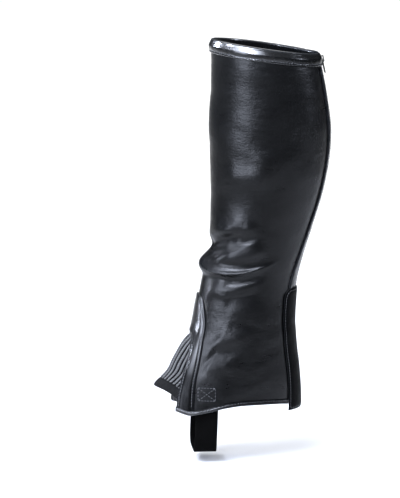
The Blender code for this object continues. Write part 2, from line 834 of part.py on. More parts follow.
def zip_pull(frame):
    """A flat tab with a window at its top, whose upper bar turns in the bridge."""
    arm_inside = BRIDGE_WIDTH / 2 + PULL_ARM_GAP
    eye_width = 2 * (arm_inside + PULL_ARM)
    tab = block((PULL_WIDTH, PULL_WALL, PULL_LENGTH + PIN_RADIUS), (0, 0, (PIN_RADIUS - PULL_LENGTH) / 2))
    for vertex in tab.data.vertices:
        if vertex.co.z > 0:
            vertex.co.x *= eye_width / PULL_WIDTH
    rounding = tab.modifiers.new("rounding", "BEVEL")
    rounding.width = 0.45 * MM
    rounding.segments = 2
    opening = block((2 * arm_inside, PULL_WALL * 3, PULL_WINDOW - PIN_RADIUS),
                    (0, 0, -(PULL_WINDOW + PIN_RADIUS) / 2))
    hinge = frame @ Matrix.Translation((0, HINGE_OUT * MM, 0))
    join_cut(tab, opening, "DIFFERENCE")
    opening.matrix_world = hinge
    collect(tab, "zip_pull", "metal", hinge)


def ankle_guard(name, side):
    """A plain leather guard from the groove at the ankle to the edge of the zip."""
    columns = []
    for from_back in GUARD_STATIONS:
        top = GUARD_TOP - corner_cut(from_back - GUARD_FRONT, GUARD_TOP_CORNER)
        bottom = GUARD_BOTTOM + corner_cut(GUARD_REAR - from_back, GUARD_BOTTOM_CORNER)
        heights = [lerp(top, bottom, r / GUARD_STEPS) for r in range(GUARD_STEPS + 1)]
        columns.append([(place_from_back(side * from_back, height, GUARD_LIFT + THIN_LEATHER),
                         place_from_back(side * from_back, height, GUARD_LIFT)) for height in heights])
    columns.reverse()
    wall(name, "leather", [[sided([c[r] for c in columns], side) for r in range(GUARD_STEPS + 1)]])


def corner_cut(past_edge, corner):
    """How much a rounded corner takes off the height at a distance past its edge."""
    width, height = corner
    reach = min(1.0, max(0.0, (past_edge + width) / width))
    return height * (1 - math.sqrt(1 - reach ** 2))


def stirrup_strap():
    """Elastic from inside one side of the hem, in a loop below it, to the other."""
    lanes = [lerp(-STRAP_WIDTH / 2, STRAP_WIDTH / 2, k / STRAP_LANES) for k in range(STRAP_LANES + 1)]
    last = STRAP_HELD[-1]

    def held_point(lane, height):
        return place(side_view_arc(STRAP_SIDE_VIEW + lane, height), height, STRAP_OUT) / MM

    middle_x = held_point(0, last).x
    columns = []
    for lane in lanes:
        held = [held_point(lane, height) for height in STRAP_HELD]
        foot = held[-1]
        line = list(held)
        for point in STRAP_RUN:
            keep = smoothstep((point.height - STRAP_LEVEL) / (last - STRAP_LEVEL))
            y = lerp(STRAP_SIDE_VIEW + lane, foot.y, keep)
            line.append(Vector((point.x + (foot.x - middle_x) * keep, y, point.height)))
        line += [Vector((-p.x, p.y, p.z)) for p in reversed(line[:-1])]
        columns.append(line)
    grid = []
    for r in range(len(columns[0])):
        row = []
        for line in columns:
            ahead, behind = line[min(r + 1, len(line) - 1)], line[max(r - 1, 0)]
            run = ahead - behind
            inward = Vector((run.z, 0, -run.x)).normalized()
            row.append((line[r] * MM, (line[r] + inward * WEBBING) * MM))
        grid.append(row)
    wall("stirrup_strap", "webbing", [grid])


def clear_scene():
    for thing in list(bpy.data.objects):
        bpy.data.objects.remove(thing, do_unlink=True)


def new_collection(name):
    collection = bpy.data.collections.new(name)
    bpy.context.scene.collection.children.link(collection)
    return collection


clear_scene()
PARTS = new_collection("half_chap")
TOOLS = new_collection("tools")

main_panel()
top_binding()
gusset_facing()
front_gusset()
gusset_band()
for side_name, side_sign in (("near", 1), ("far", -1)):
    hem_binding("hem_binding_" + side_name, side_sign)
    rear_placket("rear_placket_" + side_name, side_sign)
    piping("piping_" + side_name, side_sign)
    ankle_guard("ankle_guard_" + side_name, side_sign)
zip_tape()
zip_chain()
zip_slider(slider_frame())
zip_pull(slider_frame())
stirrup_strap()
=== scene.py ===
# %% [markdown]
# # A leather half chap
#
# A half chap is a zipped leather gaiter that covers the leg from below the knee to the ankle. This one
# keeps the hollow form that it has when worn. The imported model comes in first. Its slider and pull stay
# as they are, and each piece built below hides the solids that it stands for, so the looks can be as fine
# as we like.

# %% Open the frame
import math
from collections import namedtuple

import bmesh
import bpy
import numpy as np
from mathutils import Matrix, Vector


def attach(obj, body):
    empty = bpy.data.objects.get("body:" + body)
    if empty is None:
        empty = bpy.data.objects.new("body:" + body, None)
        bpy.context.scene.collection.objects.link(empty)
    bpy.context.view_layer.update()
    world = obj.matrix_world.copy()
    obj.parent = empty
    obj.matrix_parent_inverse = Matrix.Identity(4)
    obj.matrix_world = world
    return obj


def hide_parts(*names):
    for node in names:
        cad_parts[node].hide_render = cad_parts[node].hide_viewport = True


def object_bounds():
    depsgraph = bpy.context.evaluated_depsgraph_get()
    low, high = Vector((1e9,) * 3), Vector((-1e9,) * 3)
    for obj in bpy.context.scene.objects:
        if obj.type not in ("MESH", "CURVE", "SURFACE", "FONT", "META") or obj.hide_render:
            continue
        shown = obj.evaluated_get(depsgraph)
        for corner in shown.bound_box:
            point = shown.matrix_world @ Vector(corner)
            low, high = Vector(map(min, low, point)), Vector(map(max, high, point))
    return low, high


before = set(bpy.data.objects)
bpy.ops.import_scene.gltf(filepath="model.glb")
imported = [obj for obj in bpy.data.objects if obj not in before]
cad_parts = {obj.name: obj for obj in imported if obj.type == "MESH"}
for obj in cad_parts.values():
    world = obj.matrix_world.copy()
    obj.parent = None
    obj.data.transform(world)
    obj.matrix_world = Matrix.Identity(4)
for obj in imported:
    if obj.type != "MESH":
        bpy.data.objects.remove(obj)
cad_low, cad_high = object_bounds()
print("the model spans", [round(size * 1000) for size in cad_high - cad_low], "mm")

# %% [markdown]
# ## Camera
#
# The picture is taken from the outer side with a long lens, a little above the middle. A long lens keeps
# the edges of a tall object nearly parallel. The distance fixes the perspective, and the lens is then
# worked out from how many millimetres one pixel shows.

# %% Camera
PICTURE_WIDTH, PICTURE_HEIGHT = 400, 498
MM = 0.001
MM_PER_PIXEL = 1.11
ORIGIN_PIXEL = Vector((270.5, 132.0))
VIEW_AZIMUTH = math.radians(85)
VIEW_ELEVATION = math.radians(9)
CAMERA_DISTANCE = 3.2
SENSOR = 36.0


def direction(azimuth, elevation):
    """The way to something seen at these angles. Azimuth 0 is at -Y and 90 degrees is at +X."""
    level = math.cos(elevation)
    return Vector((math.sin(azimuth) * level, -math.cos(azimuth) * level, math.sin(elevation)))


def place_camera():
    back = direction(VIEW_AZIMUTH, VIEW_ELEVATION)
    right = Vector((math.cos(VIEW_AZIMUTH), math.sin(VIEW_AZIMUTH), 0))
    up = back.cross(right)
    offset = (Vector((PICTURE_WIDTH, PICTURE_HEIGHT)) / 2 - ORIGIN_PIXEL) * MM_PER_PIXEL * MM
    target = right * offset.x - up * offset.y
    camera = bpy.data.objects.new("camera", bpy.data.cameras.new("camera"))
    camera.data.sensor_width = SENSOR
    camera.data.lens = SENSOR * CAMERA_DISTANCE / (PICTURE_HEIGHT * MM_PER_PIXEL * MM)
    camera.location = target + back * CAMERA_DISTANCE
    camera.rotation_mode = "QUATERNION"
    camera.rotation_quaternion = back.to_track_quat("Z", "Y")
    bpy.context.scene.collection.objects.link(camera)
    bpy.context.scene.camera = camera
    print("the lens is", round(camera.data.lens), "mm long")


place_camera()

# %% [markdown]
# ## Shader sums
#
# A material is a board of nodes. Written one by one they are hard to read, so a small class wraps a socket
# and lets us write sums on it: each sum adds the Math node that does it. One method adds any other node.

# %% Shader sums
class Wire:
    """A value that runs between nodes. Sums on it add Math nodes."""

    def __init__(self, board, socket):
        self.board = board
        self.socket = socket

    def maths(self, operation, first, second):
        return self.board.add("ShaderNodeMath", {"operation": operation}, {0: first, 1: second})

    def __add__(self, other):
        return self.maths("ADD", self, other)

    __radd__ = __add__

    def __sub__(self, other):
        return self.maths("SUBTRACT", self, other)

    def __rsub__(self, other):
        return self.maths("SUBTRACT", other, self)

    def __mul__(self, other):
        return self.maths("MULTIPLY", self, other)

    __rmul__ = __mul__


class Board:
    """The node board of a material or of the sky, and the shader that ends it."""

    def __init__(self, owner, shader="Principled BSDF"):
        owner.use_nodes = True
        self.owner = owner
        self.tree = owner.node_tree
        self.shader = self.tree.nodes[shader]

    def add(self, kind, settings=None, inputs=None, output=0):
        """Any node: its settings first, then the values or wires of its sockets."""
        node = self.tree.nodes.new(kind)
        for name, value in (settings or {}).items():
            setattr(node, name, value)
        for name, value in (inputs or {}).items():
            self.plug(node.inputs[name], value)
        return Wire(self, node.outputs[output])

    def plug(self, socket, value):
        if isinstance(value, Wire):
            self.tree.links.new(value.socket, socket)
        else:
            socket.default_value = value

    def paint(self, **sockets):
        for name, value in sockets.items():
            self.plug(self.shader.inputs[name.replace("_", " ")], value)
        return self.owner

    def spot(self, stretch=(1, 1, 1)):
        """The place on the object, in metres, stretched or squeezed along its axes."""
        spot = self.add("ShaderNodeTexCoord", output="Object")
        return self.add("ShaderNodeMapping", {}, {"Vector": spot, "Scale": stretch})

    def noise(self, vector, size, detail=2.0, roughness=0.5):
        """Soft noise from 0 to 1 whose patches are about this many metres across."""
        return self.add("ShaderNodeTexNoise", {},
                        {"Vector": vector, "Scale": 1 / size, "Detail": detail, "Roughness": roughness})

    def between(self, wire, low, high):
        """0 below low, 1 above high."""
        return self.add("ShaderNodeMapRange", {"interpolation_type": "SMOOTHSTEP"},
                        {"Value": wire, "From Min": low, "From Max": high})

    def blend(self, share, first, second):
        """Mixes two colours by a share from 0 to 1."""
        return self.add("ShaderNodeMix", {"data_type": "RGBA"}, {0: share, 6: first, 7: second}, 2)

    def bump(self, height, depth, strength=1.0, under=None):
        """Turns a height from 0 to 1 into dents of this depth in metres."""
        inputs = {"Height": height, "Distance": depth, "Strength": strength}
        if under:
            inputs["Normal"] = under
        return self.add("ShaderNodeBump", {}, inputs)


def new_board(name):
    return Board(bpy.data.materials.new(name))


def grey(value, blue=1.0):
    """A grey with a little more blue in it where blue is above 1. Its green lies between the two."""
    return (value, value * (0.6 + 0.4 * blue), value * blue, 1)


# %% [markdown]
# ## Soft studio light
#
# Black leather shows hardly any colour of its own. What we see is the light that its surface mirrors, so
# the lamps are the real paint here. Three flat ones draw streaks on the rim, and a narrow beam keeps them
# off the leg below. A long one high in front catches the folds, a squarer one under it lays a bluish
# highlight down the shin, and a small one low in front lights the instep. One behind draws the curve of the
# calf. The last two light the floor, and their wide beams keep the background pale. To place a lamp, ask
# which way a spot on the leather faces, and put the lamp where that spot mirrors it to the camera.

# %% Lights
Lamp = namedtuple("Lamp", "name azimuth elevation distance width height power spread colour target")
LEG_TARGET = Vector((0, -0.01, -0.10))
CALF_TARGET = Vector((0, 0.03, 0.03))
INSTEP_TARGET = Vector((0.02, -0.08, -0.25))
RIM_TARGET = Vector((0, -0.03, 0.25))
NEAR_FLOOR = Vector((-1.9, 0.17, -0.37))
FAR_FLOOR = Vector((-5.4, 0.47, -0.37))
COOL = (0.78, 0.84, 1.0)
WHITE = (1.0, 1.0, 1.0)
LAMPS = [
    Lamp("front_rim_lamp", -32, 22, 1.7, 1.50, 0.46, 3.2, 11, COOL, RIM_TARGET),
    Lamp("middle_rim_lamp", 2, 37, 1.7, 1.20, 0.40, 2.0, 14, COOL, RIM_TARGET),
    Lamp("side_rim_lamp", 58, 20, 1.7, 1.00, 0.30, 3.6, 14, COOL, RIM_TARGET),
    Lamp("fold_lamp", 47, 43, 1.7, 2.20, 0.34, 15, 60, COOL, LEG_TARGET),
    Lamp("shin_lamp", 38, 9, 1.7, 0.66, 1.00, 3.4, 50, COOL, LEG_TARGET),
    Lamp("instep_lamp", -6, 6, 1.7, 0.50, 0.22, 0.19, 5, COOL, INSTEP_TARGET),
    Lamp("calf_lamp", 163, 24, 1.9, 0.30, 0.45, 2.8, 50, COOL, CALF_TARGET),
    Lamp("near_floor_lamp", 265, 80, 2.4, 3.40, 3.00, 36, 100, WHITE, NEAR_FLOOR),
    Lamp("far_floor_lamp", 265, 80, 3.0, 4.60, 4.20, 95, 100, WHITE, FAR_FLOOR),
]


def hang_lamps():
    for lamp in LAMPS:
        way = direction(math.radians(lamp.azimuth), math.radians(lamp.elevation))
        light = bpy.data.lights.new(lamp.name, "AREA")
        light.shape = "RECTANGLE"
        light.size, light.size_y = lamp.width, lamp.height
        light.spread = math.radians(lamp.spread)
        light.energy = lamp.power
        light.color = lamp.colour
        thing = bpy.data.objects.new(lamp.name, light)
        thing.location = lamp.target + way * lamp.distance
        thing.rotation_mode = "QUATERNION"
        thing.rotation_quaternion = way.to_track_quat("Z", "Y")
        bpy.context.scene.collection.objects.link(thing)


hang_lamps()
print(len(LAMPS), "lamps")

# %% [markdown]
# ## Sky
#
# The room is brighter overhead than along the walls. That lights the floor evenly from above and leaves
# little for the upright leather to mirror.

# %% Sky
SKY_OVERHEAD = (0.40, 0.415, 0.44, 1)
SKY_LEVEL = (0.03, 0.032, 0.036, 1)
SKY_START, SKY_FULL = 0.1, 0.8


def dim_room():
    board = Board(bpy.data.worlds.new("studio"), "Background")
    way = board.add("ShaderNodeTexCoord", output="Generated")
    up = board.add("ShaderNodeSeparateXYZ", {}, {0: way}, 2)
    overhead = board.between(up, SKY_START, SKY_FULL)
    bpy.context.scene.world = board.paint(Color=board.blend(overhead, SKY_LEVEL, SKY_OVERHEAD))


dim_room()
bpy.context.scene.view_settings.view_transform = "Standard"
print("the room is", round(SKY_OVERHEAD[0] / SKY_LEVEL[0]), "times brighter overhead than at the walls")

# %% [markdown]
# ## The form under the leather
#
# Every cloth piece lies on one form, the hollow leg. A table gives its outline at a few levels, and smooth
# curves fill in the levels between. A place on the form has three numbers: the arc round from the centre
# front (positive on the outer side), the height, and how far out it lies from the leather's outer face.
# NumPy works out thousands of places at once, which keeps fine meshes quick.

# %% Sections of the form
Section = namedtuple("Section", "height front back half_width egg")
SECTIONS = [
    Section(130, -66.2, 44.0, 56.0, 0.06),
    Section(90, -66.3, 52.0, 56.0, 0.06),
    Section(58, -66.5, 59.0, 56.0, 0.07),
    Section(22, -68.0, 65.0, 56.0, 0.08),
    Section(0, -68.5, 67.0, 55.5, 0.09),
    Section(-31, -67.7, 65.0, 54.0, 0.10),
    Section(-67, -66.6, 58.0, 50.5, 0.12),
    Section(-103, -67.0, 47.2, 45.5, 0.13),
    Section(-139, -72.5, 36.0, 41.5, 0.15),
    Section(-166, -77.0, 29.3, 40.2, 0.17),
    Section(-193, -82.3, 27.0, 40.0, 0.18),
    Section(-211, -85.5, 26.3, 40.4, 0.20),
    Section(-223, -89.0, 27.1, 40.8, 0.22),
    Section(-238, -99.0, 28.3, 41.2, 0.24),
    Section(-256, -109.0, 30.6, 41.8, 0.26),
    Section(-268, -115.0, 31.7, 42.4, 0.28),
    Section(-284, -130.0, 32.9, 43.2, 0.30),
    Section(-315, -154.0, 34.0, 43.5, 0.30),
]
FORM_LOW, FORM_HIGH = -335.0, 135.0
LEVELS = np.arange(FORM_LOW, FORM_HIGH + 1)
SHARES = np.linspace(0, 1, 241)
print("the form has", len(SECTIONS), "sections and", len(LEVELS), "levels")


# %% Reading between the rows
def lerp(a, b, t):
    return a + (b - a) * t


def smoothstep(t):
    t = np.clip(t, 0, 1)
    return t * t * (3 - 2 * t)


def read_table(rows, key, value, at):
    """Read a table's column at places between its rows, along a smooth curve."""
    rows = sorted(rows, key=lambda row: getattr(row, key))
    keys = np.array([getattr(row, key) for row in rows], float)
    values = np.array([getattr(row, value) for row in rows], float)
    before = np.maximum(np.arange(len(keys)) - 1, 0)
    after = np.minimum(np.arange(len(keys)) + 1, len(keys) - 1)
    slopes = (values[after] - values[before]) / (keys[after] - keys[before])
    at = np.clip(at, keys[0], keys[-1])
    i = np.clip(np.searchsorted(keys, at) - 1, 0, len(keys) - 2)
    span = keys[i + 1] - keys[i]
    t = (at - keys[i]) / span
    bend_in = slopes[i] * span * t * (1 - t) ** 2
    bend_out = slopes[i + 1] * span * t * t * (1 - t)
    return values[i] + (values[i + 1] - values[i]) * t * t * (3 - 2 * t) + bend_in - bend_out


def front_and_back(height):
    return read_table(SECTIONS, "height", "front", height), read_table(SECTIONS, "height", "back", height)


def outline(height, angle):
    """X and Y of the outer side at these heights. The angle is 0 in front and a half turn behind."""
    front, back = front_and_back(height)
    half_width = read_table(SECTIONS, "height", "half_width", height)
    egg = read_table(SECTIONS, "height", "egg", height)
    x = half_width * np.sin(angle) * (1 - egg * np.cos(angle))
    y = (front + back) / 2 - (back - front) / 2 * np.cos(angle)
    return x, y


print("the calf is", round(float(2 * outline(0.0, math.pi / 2)[0])), "mm wide")


# %% Measure the form
def measure_form():
    """X and Y along one side of the leg at every level, and half the girth there."""
    angle = np.linspace(0, math.pi, 361)
    across, along, girths = [], [], []
    for height in LEVELS:
        x, y = outline(height, angle)
        arc = np.concatenate(([0], np.cumsum(np.hypot(np.diff(x), np.diff(y)))))
        across.append(np.interp(SHARES, arc / arc[-1], x))
        along.append(np.interp(SHARES, arc / arc[-1], y))
        girths.append(arc[-1])
    return np.array(across), np.array(along), np.array(girths)


FORM_X, FORM_Y, GIRTHS = measure_form()


def half_girth(height):
    return np.interp(height, LEVELS, GIRTHS)


print("the calf is", round(2 * half_girth(0)), "mm round")


# %% Places on the form
SIDE_VIEW_STEPS = 48


def base_point(arc, height):
    """Points of the plain form in millimetres, read from the measured levels."""
    girth = half_girth(height)
    arc = np.where(np.abs(arc) > girth, arc - np.copysign(2 * girth, arc), arc)
    level = np.clip(height - FORM_LOW, 0, len(LEVELS) - 1.001)
    row = level.astype(int)
    down = level - row
    spot = np.abs(arc) / girth * (len(SHARES) - 1)
    column = np.clip(spot.astype(int), 0, len(SHARES) - 2)
    over = spot - column

    def read(table):
        upper = lerp(table[row, column], table[row, column + 1], over)
        lower = lerp(table[row + 1, column], table[row + 1, column + 1], over)
        return lerp(upper, lower, down)

    return np.stack([np.where(arc >= 0, 1, -1) * read(FORM_X), read(FORM_Y), height], axis=-1)


def side_view_arc(y, height):
    """Arc of the place that has this Y at this height."""
    front, back = front_and_back(height)
    end = np.arccos(np.clip(((front + back) / 2 - y) / ((back - front) / 2), -1, 1))
    x_at, y_at = outline(height, end * np.linspace(0, 1, SIDE_VIEW_STEPS + 1)[:, None])
    return np.hypot(np.diff(x_at, axis=0), np.diff(y_at, axis=0)).sum(axis=0)


print("half way round the calf, Y is", round(float(base_point(half_girth(0) / 2, 0.0)[1])), "mm")

# %% [markdown]
# ## Folds
#
# Leather that is pushed down at the ankle folds along lines. Each fold is a row of a table: the line runs
# from its start through its middle to its end, and the leather rises or sinks beside it, with its own width
# above and below. Placing them one by one gives folds that are uneven in length, depth and spacing, as real
# ones are. The small creases between the folds have a table of their own.

# %% Fold tables
Fold = namedtuple("Fold", "arc0 height0 arc1 height1 arc2 height2 rise upper lower")
FOLDS = [
    Fold(8, -103, 36, -104, 68, -91, 2.0, 13, 7),
    Fold(0, -122, 28, -117, 62, -99, -5.0, 7, 7),
    Fold(20, -140, 58, -133, 84, -124, 2.6, 13, 5.5),
    Fold(-12, -141, 4, -141, 20, -145, 1.2, 8, 6),
    Fold(18, -142, 58, -145, 90, -137, -0.6, 6, 6),
    Fold(-6, -146, 26, -151.5, 68, -152, 2.6, 7.5, 5),
    Fold(0, -147, 50, -154, 96, -140, 0.8, 7, 6),
    Fold(32, -163, 60, -162, 86, -152, -2.0, 5, 5),
    Fold(14, -174, 44, -173, 80, -162, 1.5, 9, 6),
    Fold(40, -186, 60, -181, 86, -172, -0.9, 8, 9),
    Fold(40, -224, 58, -228, 84, -222, 1.5, 10, 9),
    Fold(44, -241, 60, -242, 82, -236, -1.3, 8, 8),
    Fold(46, -257, 62, -258, 88, -254, 1.3, 10, 10),
]
CREASES = [
    Fold(20, 6, 48, 8, 74, 3, -0.5, 14, 10),
    Fold(26, -42, 62, -46, 96, -42, 1.7, 11, 17),
    Fold(86, -10, 83, -36, 86, -60, 1.5, 14, 14),
    Fold(14, -66, 40, -70, 70, -64, -0.5, 12, 9),
    Fold(20, -110, 48, -107, 72, -97, 2.4, 6.5, 5.0),
    Fold(34, -122, 54, -118, 78, -109, -1.2, 5.0, 4.0),
    Fold(6, -143, 36, -129, 72, -112, -0.9, 4.0, 2.4),
    Fold(-2, -146, 50, -153.5, 104, -135, 2.0, 2.4, 1.3),
    Fold(-16, -153.5, 6, -154, 34, -158, 1.7, 4.0, 4.0),
    Fold(-14, -151, 46, -159, 100, -143, -0.8, 2.0, 4.0),
    Fold(40, -119, 56, -121, 76, -120, 0.4, 1.6, 2.0),
    Fold(24, -176, 52, -178, 78, -170, 0.5, 2.0, 3.5),
    Fold(42, -181, 62, -179, 86, -173, -0.4, 2.0, 2.5),
    Fold(46, -199, 62, -195, 86, -191, 0.4, 5.0, 6.0),
    Fold(50, -210, 68, -212, 92, -207, -0.5, 5.0, 5.0),
]
print("each side has", len(FOLDS), "folds and", len(CREASES), "creases")

# %% Fold lines
FOLD_SAMPLES = 61
FADE_IN, FADE_OUT = 0.3, 0.4
INNER_SIDE_RISE = 0.85
INNER_SIDE_DROP, DROP_TURN = 4.0, 2.1
INNER_SIDE_REACH, REACH_TURN = 0.1, 1.7


def fold_lines(folds, front_start, end):
    """Every fold as points along its curve, with its rise and flanks. The inner side has its own set."""
    lines = []
    t = np.linspace(0, 1, FOLD_SAMPLES)
    first, middle, last = (2 * t - 1) * (t - 1), 4 * t * (1 - t), t * (2 * t - 1)
    end_fade = smoothstep((end - t) / FADE_OUT)
    for side in (1, -1):
        for number, fold in enumerate(folds):
            drop, reach, rise = 0, 1, fold.rise
            if side < 0:
                drop = INNER_SIDE_DROP * math.sin(DROP_TURN * number)
                reach = 1 - INNER_SIDE_REACH + INNER_SIDE_REACH * math.cos(REACH_TURN * number)
                rise = fold.rise * INNER_SIDE_RISE
            start = front_start if fold.arc0 <= 0 else 0
            fade = smoothstep((t - start) / FADE_IN) * end_fade
            arc = (fold.arc0 * first + fold.arc1 * middle + fold.arc2 * last) * reach * side
            height = fold.height0 * first + fold.height1 * middle + fold.height2 * last - drop
            lines.append((arc, height, rise * fade, fold.upper, fold.lower))
    return lines


FOLD_LINES = fold_lines(FOLDS, -0.15, 1.05)
CREASE_LINES = fold_lines(CREASES, 0.0, 1.0)
print("the highest fold rises", round(float(max(line[2].max() for line in FOLD_LINES)), 1), "mm")

# %% Folded places
FOLD_REACH = 30.0
STEP = 0.5


def near(values, line):
    return (values > line.min() - FOLD_REACH) & (values < line.max() + FOLD_REACH)


def fold_rise(arc, height):
    """How far the folds lift the leather. Each one counts at its nearest point to the place."""
    total = np.zeros_like(arc)
    for arcs, heights, rises, upper, lower in FOLD_LINES + CREASE_LINES:
        close = np.flatnonzero(near(arc, arcs) & near(height, heights))
        if not len(close):
            continue
        gaps = (arcs - arc[close, None]) ** 2 + (heights - height[close, None]) ** 2
        nearest = gaps.argmin(axis=1)
        gap = np.maximum(gaps[np.arange(len(close)), nearest], 1e-6)
        above = (height[close] - heights[nearest]) / np.sqrt(gap)
        flank = lerp(lower, upper, (1 + above) / 2)
        total[close] += np.where(gap < FOLD_REACH ** 2, rises[nearest] * np.exp(-gap / flank ** 2), 0)
    return total


def place(arc, height, out):
    """Places on the form as points in metres."""
    arc, height, out = (np.array(part, float) for part in np.broadcast_arrays(arc, height, out))
    along = base_point(arc + STEP, height) - base_point(arc - STEP, height)
    up = base_point(arc, height + STEP) - base_point(arc, height - STEP)
    outward = np.cross(along, up)
    outward /= np.linalg.norm(outward, axis=-1, keepdims=True)
    return (base_point(arc, height) + outward * (fold_rise(arc, height) + out)[..., None]) * MM


print("the main fold comes forward to Y =", round(place([0.0], [-150.0], 0.0)[0, 1] / MM), "mm")

# %% [markdown]
# ## Edges and seams
#
# The rim lies in a slanting plane, and the foot edge dips at the instep. The seams of the instep opening
# are easier to give as they look from the side, so a small search turns each side view into an arc. An edge
# that slants across a column is found by walking to it a few times until the height settles.

# %% Edge and seam tables
SEAM_GAP = 0.3
LEATHER = 2.0
THIN_LEATHER = 1.8
BINDING_WALL = 1.5
RIM_SECTION = 96.0
RIM_FRONT = 104.5
RIM_BACK = 89.0
OPENING_TOP = -179.0
ELASTIC_TOP = -223.0
NOTCH_TOP = -190.0
NOTCH_LAP = 7.0
NOTCH_EASE = 14.0
PLACKET_EDGE = 7.0

Seam = namedtuple("Seam", "height y")
FACING_SEAM = [
    Seam(-179, -79.5), Seam(-184, -76.8), Seam(-197, -74.8), Seam(-214, -74.0),
    Seam(-232, -77.2), Seam(-259, -82.3), Seam(-284, -87.0), Seam(-312, -88.8),
]
ELASTIC_SEAM = [
    Seam(-223, -89.0), Seam(-228, -88.6), Seam(-240, -91.2), Seam(-256, -95.2),
    Seam(-272, -100.2), Seam(-290, -105.2), Seam(-312, -108.4),
]
HemPoint = namedtuple("HemPoint", "arc height")
HEM = [
    HemPoint(40, -306), HemPoint(53, -308.5), HemPoint(72, -312.5), HemPoint(88, -309.5),
    HemPoint(104, -304), HemPoint(120, -301), HemPoint(144, -300), HemPoint(164, -300.5),
    HemPoint(182, -302), HemPoint(240, -303),
]
RearEdge = namedtuple("RearEdge", "height from_back")
REAR_EDGE = [
    RearEdge(120, 23.5), RearEdge(60, 24.0), RearEdge(0, 26.5), RearEdge(-70, 27.5),
    RearEdge(-130, 27.5), RearEdge(-172, 31.0), RearEdge(-320, 31.0),
]
print("the rim slants by", RIM_FRONT - RIM_BACK, "mm from front to back")


# %% Edges and seams
def seam_reader(seam):
    """The seam's arc at every millimetre of its height, ready to be read."""
    heights = np.arange(FORM_LOW, OPENING_TOP + 1)
    arcs = side_view_arc(read_table(seam, "height", "y", heights), heights)
    return lambda height: np.interp(height, heights, arcs)


facing_outer = seam_reader(FACING_SEAM)
elastic_seam = seam_reader(ELASTIC_SEAM)


def facing_inner(height):
    return np.where(height > ELASTIC_TOP, 0.0, elastic_seam(height))


def notch_arc(height):
    """The main panel's cut edge, hidden under the facing."""
    ease = np.sqrt(np.clip((NOTCH_TOP - height) / NOTCH_EASE, 0, 1))
    return (facing_outer(height) - NOTCH_LAP) * ease


def from_back_edge(height):
    return read_table(REAR_EDGE, "height", "from_back", height)


def rear_edge(height):
    return half_girth(height) - from_back_edge(height)


print("the facing's legs are", round(float(facing_outer(-300.0) - elastic_seam(-300.0))), "mm wide")

# %% Rim and foot edge
SETTLE_STEPS = 12


def rim_height(arc):
    level = np.full_like(arc, RIM_SECTION)
    front, back = front_and_back(RIM_SECTION)
    return lerp(RIM_FRONT, RIM_BACK, (base_point(arc, level)[..., 1] - front) / (back - front))


def hem_height(arc):
    return read_table(HEM, "arc", "height", np.abs(arc))


def meet(arc_of, height_of, start):
    """Heights where columns, whose arcs change with height, meet an edge."""
    height = start
    for _ in range(SETTLE_STEPS):
        height = height_of(arc_of(height))
    return height


def meet_hem(arc_of, like):
    """Heights where columns, as many as in like, meet the foot edge."""
    return meet(arc_of, hem_height, np.full_like(like, HEM[0].height))


FACING_END = float(facing_outer(meet_hem(facing_outer, np.array(0.0))))
print("at the foot edge the facing reaches", round(FACING_END), "mm round from the front")

# %% [markdown]
# ## Black leather
#
# The leather is smooth and satin. Three things keep it from looking like plastic: a fine grain of pores,
# soft unevenness that makes the highlight wander, and a polish that varies from place to place. Where the
# leather is rubbed, on edges and on the crests of folds, it is a little paler and shinier. The grain reads
# Object coordinates, so it has the same size on every piece and never stretches. The rim, the facing and
# the foot edge are glazed as well: a clear coat that grows along one axis makes one end of each shine.

# %% Black leather
MOTTLE_SIZE, DRAG_SIZE = 0.022, 0.016
DRAG_STRETCH = (1, 1, 3.2)
PORE_SIZE, GRAIN_SIZE = 0.0012, 0.0011
WAVE_DEPTH, DRAG_DEPTH, GRAIN_DEPTH = 0.0018, 0.0007, 0.00016
RUBBED_PALENESS = 5.5
Glaze = namedtuple("Glaze", "axis none full polish")


def wear_and_painted_light_mark(board):
    """Wear from 0 to 1 as stored on the piece; on the elastic it is painted highlight on rib crests and
    painted shade in the valleys.
    """
    return board.add("ShaderNodeAttribute", {"attribute_name": "wear_and_painted_light"}, output="Fac")


def make_leather(name, base=0.0014, polish=0.29, grain=1.0, shine=0.22, glaze=None):
    """A glaze grows along one axis, from none to full, two places in metres."""
    board = new_board(name)
    spot = board.spot()
    mottle = board.noise(spot, MOTTLE_SIZE, 4, 0.6)
    drag = board.noise(board.spot(DRAG_STRETCH), DRAG_SIZE, 5, 0.62)
    pores = board.add("ShaderNodeTexVoronoi", {"feature": "SMOOTH_F1"},
                      {"Vector": spot, "Scale": 1 / PORE_SIZE})
    fine = board.noise(spot, GRAIN_SIZE, 3, 0.6)
    rubbed = board.between(wear_and_painted_light_mark(board) + mottle * 0.5, 0.45, 1.25)
    colour = board.blend(rubbed, grey(base, 1.22), grey(base * RUBBED_PALENESS, 1.25))
    roughness = polish + (drag - 0.5) * 0.20 + (mottle - 0.5) * 0.12 - rubbed * 0.06 + fine * 0.05
    if glaze:
        along = board.add("ShaderNodeSeparateXYZ", {}, {0: spot}, glaze.axis)
        board.paint(Coat_Weight=board.between(along, glaze.none, glaze.full), Coat_Roughness=glaze.polish)
    soft = board.bump(drag, DRAG_DEPTH, 0.45)
    waves = board.bump(mottle, WAVE_DEPTH, 0.35, soft)
    surface = board.bump(pores * 0.6 + fine * 0.4, GRAIN_DEPTH, 0.5 * grain, waves)
    return board.paint(Base_Color=colour, Roughness=roughness, Normal=surface, Specular_IOR_Level=shine)


